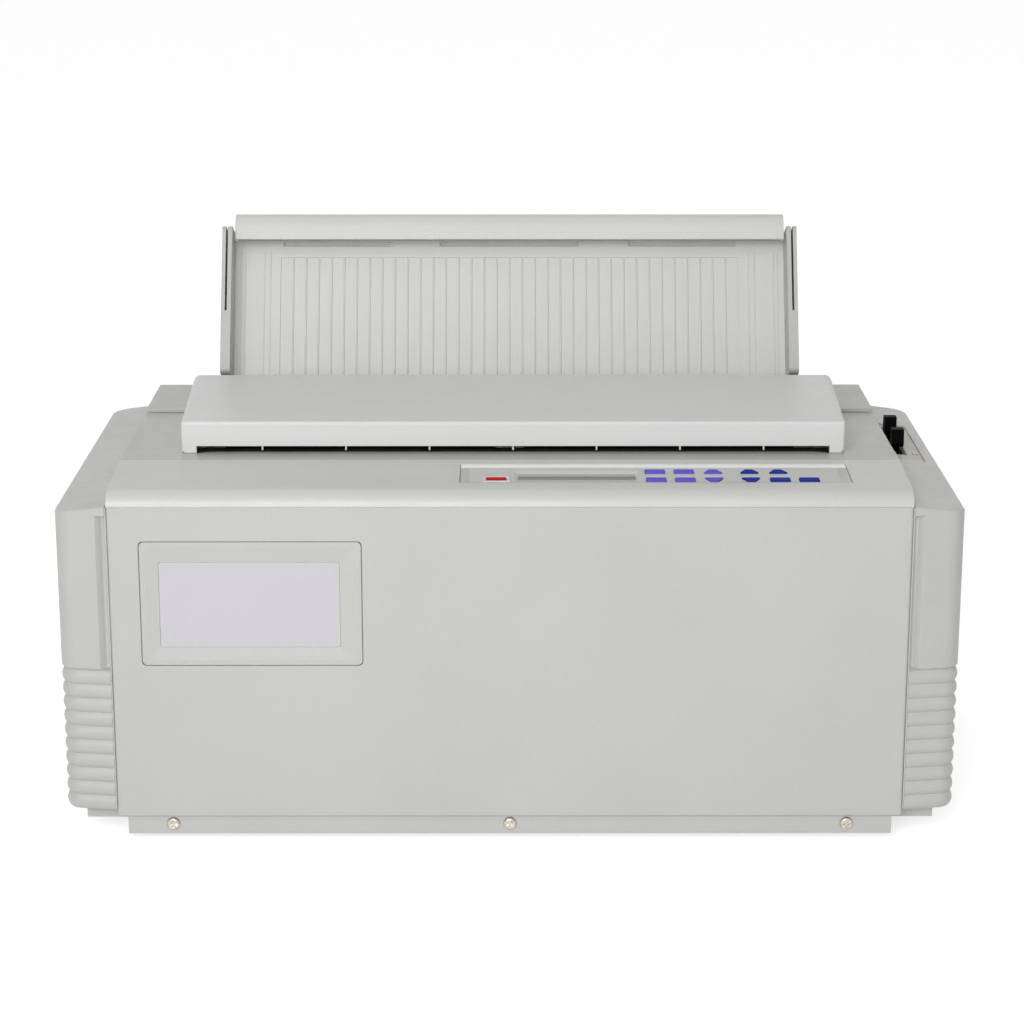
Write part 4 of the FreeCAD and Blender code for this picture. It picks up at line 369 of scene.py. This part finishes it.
# Lit and shaded copies of the plastics: painted shade on the side housings and the rear cover's
# wings, painted light on the control band
housing_painted_shade = moulded_plastic("housing_abs_painted_shade", "#C3C3BF", "#D6D6D3", 0.36)
lit_and_shaded_copies = {
    "left_side_housing": housing_painted_shade,
    "right_side_housing": housing_painted_shade,
    "control_band": moulded_plastic("band_abs_painted_light", "#CFCFCB", "#DCDCD9", 0.34, edge=0.9),
    "cover_wings": moulded_plastic("wing_abs_painted_shade", "#BEBEBA", "#CCCCC8", 0.42),
}
for node, slot in slot_of.items():
    nodes[node].data.materials.clear()
    nodes[node].data.materials.append(lit_and_shaded_copies.get(node, finishes[slot]))


# Fine pieces that sit on the solids

def corners(node):
    """A node's lowest and highest corners at rest."""
    return [Vector(corner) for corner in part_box(node)]


def piece(name, form, slot, body="cabinet", finish=None):
    """Makes a riding object of a finished form, smooth where its faces meet gently."""
    gentle = math.radians(35)
    bmesh.ops.recalc_face_normals(form, faces=form.faces)
    for face in form.faces:
        face.smooth = True
    for edge in form.edges:
        edge.smooth = len(edge.link_faces) == 2 and edge.calc_face_angle() < gentle
    mesh = bpy.data.meshes.new(name)
    form.to_mesh(mesh)
    form.free()
    mesh.materials.append(finish or finishes[slot])
    thing = bpy.data.objects.new(name, mesh)
    bpy.context.scene.collection.objects.link(thing)
    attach(thing, body)
    return thing


def stand_on(form, centre, outward):
    """Turns a form drawn on Z=0 so that it stands on a place and points outward."""
    turn = outward.to_track_quat("Z", "Y").to_matrix().to_4x4()
    bmesh.ops.transform(form, matrix=Matrix.Translation(centre) @ turn, verts=form.verts)


def join_rings(form, rings):
    """Spans faces between rings of equally many vertices."""
    for near, far in zip(rings, rings[1:]):
        for i in range(len(near)):
            j = (i + 1) % len(near)
            form.faces.new((near[i], near[j], far[j], far[i]))


def screw(name, centre, outward, radius):
    """Pan-head screw: a dome on a washer rim, with a cross recess sunk into it."""
    form = bmesh.new()
    arm_half, arm_reach = 0.13 * radius, 0.62 * radius
    depth, rise = 0.32 * radius, 0.5 * radius
    radii = [share * radius for share in (0.2, 0.4, 0.6, 0.65, 0.8, 0.93, 1.0, 1.0)]
    # Places along a quarter between two arms, of which the first and last lie in the recess
    stops = ((0, True), (0.06, False), (0.35, False), (0.65, False), (0.94, False), (1, True))
    rings = []
    for step, r in enumerate(radii):
        dome = rise * math.sqrt(1 - (r / radius) ** 2 * 0.75)
        arm = math.asin(arm_half / r)
        ring = []
        for quarter in range(4):
            for share, sunk in stops:
                angle = quarter * math.pi / 2 + arm + share * (math.pi / 2 - 2 * arm)
                height = 0 if step == len(radii) - 1 else dome
                if sunk and r < arm_reach:
                    height -= depth
                ring.append(form.verts.new((r * math.cos(angle), r * math.sin(angle), height)))
        rings.append(ring)
    join_rings(form, rings)
    form.faces.new(rings[0])
    form.faces.new(rings[-1][::-1])
    stand_on(form, centre, outward)
    piece(name, form, "screw_steel")


def hex_stud(name, centre, outward, radius, height, bore):
    """Threaded stud beside a connector: a chamfered hexagon with a hole."""
    form = bmesh.new()
    steps, side = 24, math.pi / 3
    inscribed = math.cos(side / 2)
    rings = []
    for r, z, hexed in ((1.0, 0.0, True), (1.0, 0.85, True), (0.9, 1.0, False),
                        (bore, 1.0, False), (bore, 0.2, False)):
        ring = []
        for step in range(steps):
            angle = step * math.tau / steps
            flat = inscribed / math.cos(angle % side - side / 2) if hexed else inscribed
            x, y = (radius * r * flat * turn for turn in (math.cos(angle), math.sin(angle)))
            ring.append(form.verts.new((x, y, z * height)))
        rings.append(ring)
    join_rings(form, rings)
    form.faces.new(rings[0][::-1])
    form.faces.new(rings[-1])
    stand_on(form, centre, outward)
    piece(name, form, "port_steel")


def bevelled_bar(start, end, width, height, side, out):
    """Long flat bar that stands out by its height, with its long edges bevelled."""
    form = bmesh.new()
    bevel = min(width, height) * 0.3
    half = width / 2
    section = [(-half, 0), (half, 0), (half, height - bevel), (half - bevel, height),
               (bevel - half, height), (-half, height - bevel)]
    ends = [[form.verts.new(place + side * u + out * v) for u, v in section]
            for place in (start, end)]
    join_rings(form, ends)
    form.faces.new(ends[0][::-1])
    form.faces.new(ends[1])
    return form


def shaped_strip(name, stations, slot):
    """Strip along X whose section, a list of depths and heights, changes from place to place."""
    form = bmesh.new()
    rings = [[form.verts.new((x, y, z)) for y, z in section] for x, section in stations]
    join_rings(form, rings)
    form.faces.new(rings[0][::-1])
    form.faces.new(rings[-1])
    piece(name, form, slot)


# Screw of the lever plate, beside the levers' slot
plate_low, plate_high = corners("lever_plate")
from_side, from_front, clear = 7.2 * MM, 30 * MM, 10 * MM
above_plate = Vector((plate_high.x - from_side, plate_low.y + from_front, plate_high.z + clear))
_, screw_place, plate_normal, _ = nodes["lever_plate"].ray_cast(above_plate, -up)
screw("lever_plate_screw", screw_place, plate_normal, radius=2.3 * MM)

# Painted shadow: a black strip on the deck inside the paper slot stands in for the shade under the
# lid's front; its ends curve forward
lid_low, _ = corners("exit_cover")
hinge_at = {joint["name"]: Vector(joint.get("pos_m", (0, 0, 0)))
            for joint in frame["record"]["behaviour"]["joints"]}
lid_middle = hinge_at["exit_cover_hinge"].x
slot_half = 240.1 * MM
lid_clearance = 0.3 * MM
deck_top = lid_low.z - lid_clearance
shade_strip_front, shade_strip_ridge, shade_strip_back = (lid_low.y + depth * MM for depth in (5.2, 7.6, 10.6))
shade_strip_foot, shade_strip_top = deck_top - 0.3 * MM, deck_top + 1.5 * MM
stations = []
for inward, forward in ((0, 4.9), (2.5, 3.9), (5, 2.4), (8, 1.2), (12, 0.3), (18, 0)):
    front = shade_strip_front - forward * MM
    section = [(front, shade_strip_foot), (shade_strip_back, shade_strip_foot), (shade_strip_back, shade_strip_top),
               (shade_strip_ridge, shade_strip_top), (front + 0.4 * MM, deck_top + 0.8 * MM),
               (front, deck_top + 0.4 * MM)]
    stations.append((slot_half - inward * MM, section))
left_half = [(lid_middle - x, section) for x, section in stations]
right_half = [(lid_middle + x, section) for x, section in reversed(stations)]
shaped_strip("paper_slot_shade_strip", left_half + right_half, "foot_rubber")

# Tips of the exit cover's paper ribs, which show under the edge of its front
rib_count, rib_pitch = 7, 63.38 * MM
tip_long, tip_wide, tip_deep = 3.4 * MM, 1.3 * MM, 1.9 * MM
for index in range(rib_count):
    x = lid_middle + (index - (rib_count - 1) / 2) * rib_pitch
    tip_from = Vector((x, lid_low.y + 2.4 * MM, lid_low.z + 5.4 * MM))
    tip = bevelled_bar(tip_from, tip_from - up * tip_long, tip_wide, tip_deep, across, ahead)
    piece(f"paper_rib_tip_{index}", tip, "lid_plastic", "exit_cover")

# Rear cover: liners behind the grip's three slots, and the moulded lines beside its field
cover_lean = math.radians(25.2)
cover_half_wall, grip_rise = 1.4 * MM, 125.7 * MM
cover_foot = hinge_at["rear_cover_hinge"]
along_cover = Vector((0, math.sin(cover_lean), math.cos(cover_lean)))
behind_cover = Vector((0, math.cos(cover_lean), -math.sin(cover_lean)))
grip_line = cover_foot + along_cover * grip_rise + behind_cover * cover_half_wall
liner_wide, liner_thick, overlap = 6.4 * MM, 1.4 * MM, 2
for place, start, end in (("left", -188, -99), ("middle", -58, 58), ("right", 99, 188)):
    liner = bevelled_bar(grip_line + across * (start - overlap) * MM,
                         grip_line + across * (end + overlap) * MM,
                         liner_wide, liner_thick, along_cover, behind_cover)
    piece(f"grip_liner_{place}", liner, "cover_plastic", "rear_cover")
line_low, line_high, line_wide, line_proud = 8 * MM, 119 * MM, 0.9 * MM, 0.5 * MM
for index, x in enumerate((-222.5, -219.2, -203.4, -198.4, 198.4, 203.4, 219.2, 222.5)):
    foot = cover_foot + across * x * MM - behind_cover * cover_half_wall
    line = bevelled_bar(foot + along_cover * line_low, foot + along_cover * line_high,
                        line_wide, line_proud, across, -behind_cover)
    piece(f"cover_line_{index}", line, "cover_plastic", "rear_cover")

# Sealing strips in the seams of the cabinet, so that no dark gap shows
panel_low, panel_high = corners("front_panel")
housing_low, housing_high = corners("right_side_housing")
seam_width = housing_low.x - panel_high.x
seam_middle = (housing_low.x + panel_high.x) / 2
seam_floor = panel_low.y + 1.6 * MM
strip_height = 1.2 * MM
for side, x in (("left", -seam_middle), ("right", seam_middle)):
    upright = bevelled_bar(Vector((x, seam_floor, housing_low.z + 1 * MM)),
                           Vector((x, seam_floor, panel_high.z - 0.5 * MM)),
                           seam_width, strip_height, across, ahead)
    piece(f"seam_strip_front_{side}", upright, "cabinet_plastic")
    top_floor = housing_high.z - 1.9 * MM
    flat = bevelled_bar(Vector((x, panel_low.y + 3 * MM, top_floor)),
                        Vector((x, housing_high.y - 3 * MM, top_floor)),
                        seam_width, strip_height, across, up)
    piece(f"seam_strip_top_{side}", flat, "cabinet_plastic")

# The control band as the CAD has it, but for a sliver that its rounded front folds back over the
# seam below it: the sliver's corners are drawn together on the band's lower edge
band_form = bmesh.new()
band_form.from_mesh(nodes["control_band"].data)
band_foot = panel_high.z + 0.2 * MM
sliver = [corner for corner in band_form.verts
          if corner.co.y < panel_low.y + 0.3 * MM and corner.co.z < band_foot + 0.01 * MM]
lip_y = max(corner.co.y for corner in sliver)
for corner in sliver:
    corner.co.y, corner.co.z = lip_y, band_foot
bmesh.ops.remove_doubles(band_form, verts=band_form.verts, dist=0.002 * MM)
# Its plastic is the lighter copy, painted light
band = piece("control_band_moulding", band_form, slot_of["control_band"],
             finish=lit_and_shaded_copies["control_band"])
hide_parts("control_band")
band_seam = Vector((0, seam_floor, (panel_high.z + band_foot) / 2))
reach = across * (panel_high.x - 0.5 * MM)
strip_wide, strip_deep = 1.0 * MM, 1.3 * MM
strip = bevelled_bar(band_seam - reach, band_seam + reach, strip_wide, strip_deep, up, ahead)
piece("seam_strip_band", strip, "cabinet_plastic")

# Rear wall: its own screws, the fan's and the connector's studs
wall_low, wall_high = corners("rear_wall")
back = -ahead
wall_inset, screw_level = 9 * MM, wall_low.z + 12 * MM
for column, x in enumerate((wall_low.x + wall_inset, 0, wall_high.x - wall_inset)):
    screw(f"rear_screw_low_{column}", Vector((x, wall_high.y, screw_level)), back,
          radius=3.4 * MM)
fan_low, fan_high = corners("fan_housing")
fan_inset = 5 * MM
for column, x in enumerate((fan_low.x + fan_inset, fan_high.x - fan_inset)):
    for row, z in enumerate((fan_low.z + fan_inset, fan_high.z - fan_inset)):
        screw(f"fan_screw_{column}_{row}", Vector((x, wall_high.y, z)), back, radius=3.0 * MM)
port_low, port_high = corners("interface_connector")
port_inset = 3.2 * MM
port_level = (port_low.z + port_high.z) / 2
for side, x in (("left", port_low.x + port_inset), ("right", port_high.x - port_inset)):
    hex_stud(f"port_stud_{side}", Vector((x, wall_high.y, port_level)), back,
             radius=3.0 * MM, height=5 * MM, bore=0.5)

# Status lamp: a domed lens on the flat one, in a white surround
lamp_low, lamp_high = corners("status_lamp")
foil_slope = math.radians(2.89)
along_foil = Vector((0, math.cos(foil_slope), math.sin(foil_slope)))
off_foil = Vector((0, -math.sin(foil_slope), math.cos(foil_slope)))
lamp_middle = (lamp_low + lamp_high) / 2
lamp_middle.z = lamp_high.z - 0.5 * MM
lens_half = across * ((lamp_high.x - lamp_low.x) / 2 - 0.3 * MM)
lens_wide, lens_proud = 6.4 * MM, 1.2 * MM
dome = bevelled_bar(lamp_middle - lens_half, lamp_middle + lens_half * 0.8, lens_wide, lens_proud,
                    along_foil, off_foil)
piece("lamp_lens_dome", dome, "lamp_red")
long_rail_wide, short_rail_wide, rail_proud = 2.2 * MM, 2.0 * MM, 0.9 * MM
rail_off, short_rail_half = 5.2 * MM, 6 * MM
for place, side in (("front", -1), ("back", 1)):
    centre = lamp_middle + along_foil * rail_off * side
    rail = bevelled_bar(centre - lens_half * 1.2, centre + lens_half * 1.2, long_rail_wide,
                        rail_proud, along_foil, off_foil)
    piece(f"lamp_surround_{place}", rail, "lid_plastic")
for place, side in (("left", -1), ("right", 1)):
    centre = lamp_middle + lens_half * 1.14 * side
    rail = bevelled_bar(centre - along_foil * short_rail_half,
                        centre + along_foil * short_rail_half, short_rail_wide,
                        rail_proud, across, off_foil)
    piece(f"lamp_surround_{place}", rail, "lid_plastic")

# Floor, one pale sheet that runs past the camera's view
floor_mesh = bpy.data.meshes.new("floor")
floor_form = bmesh.new()
bmesh.ops.create_grid(floor_form, x_segments=1, y_segments=1, size=15)
floor_form.to_mesh(floor_mesh)
floor_form.free()
floor = bpy.data.objects.new("floor", floor_mesh)
bpy.context.scene.collection.objects.link(floor)

# White paper that the camera and reflections see nearly white, and that keeps the shadow
floor_level = 0.62
paper, paper_shader, _ = begin("paper_white", Roughness=0.9, Specular_IOR_Level=0.1)
paper_shader.inputs["Base Color"].default_value = linear("#F2F2F2")
paper_shader.inputs["Emission Color"].default_value = (1, 1, 1, 1)
lift = reckon(paper, "MULTIPLY", seen_directly(paper), floor_level)
paper.node_tree.links.new(lift, paper_shader.inputs["Emission Strength"])
floor_mesh.materials.append(paper)

# World, an even room that the camera and reflections see white
room_level = 0.38
world = bpy.data.worlds.new("white_room")
bpy.context.scene.world = world
world.use_nodes = True
room = world.node_tree.nodes["Background"]
room.inputs["Color"].default_value = (1, 1, 1, 1)
brightness = spread(world, seen_directly(world), 0, 1, room_level, 1.0)
world.node_tree.links.new(brightness, room.inputs["Strength"])

# Soft boxes, and a narrow strip light that draws the long highlights
for name, spot, aim, width, height, watts in (
    ("front_box", (-0.5, -2.6, 1.3), (0, 0, 0.2), 1.4, 1.4, 38),
    ("top_box", (-0.6, 0.6, 2.4), (0, 0, 0.2), 1.2, 1.2, 3),
    ("strip_light", (-0.5, -1.5, 2.0), (-0.1, 0, 0.27), 1.6, 0.12, 3),
):
    lamp = bpy.data.lights.new(name, "AREA")
    lamp.shape = "RECTANGLE"
    lamp.size = width
    lamp.size_y = height
    lamp.energy = watts
    box = bpy.data.objects.new(name, lamp)
    box.location = spot
    box.rotation_euler = (Vector(aim) - Vector(spot)).to_track_quat("-Z", "Y").to_euler()
    bpy.context.scene.collection.objects.link(box)

# Camera, where the photograph was taken from: above the front, tipped down and turned a hair
focal_px, photo_px = 2700, 1024
tipped_down, turned = math.radians(15.37), -0.0017
optics = bpy.data.cameras.new("camera")
optics.sensor_width = 36.0
optics.lens = focal_px * optics.sensor_width / photo_px
optics.clip_end = 100
camera = bpy.data.objects.new("camera", optics)
camera.location = (-0.0017, -2.0614, 0.7751)
camera.rotation_euler = (math.pi / 2 - tipped_down, 0, turned)
bpy.context.scene.collection.objects.link(camera)
bpy.context.scene.camera = camera
bpy.context.scene.view_settings.view_transform = "Standard"
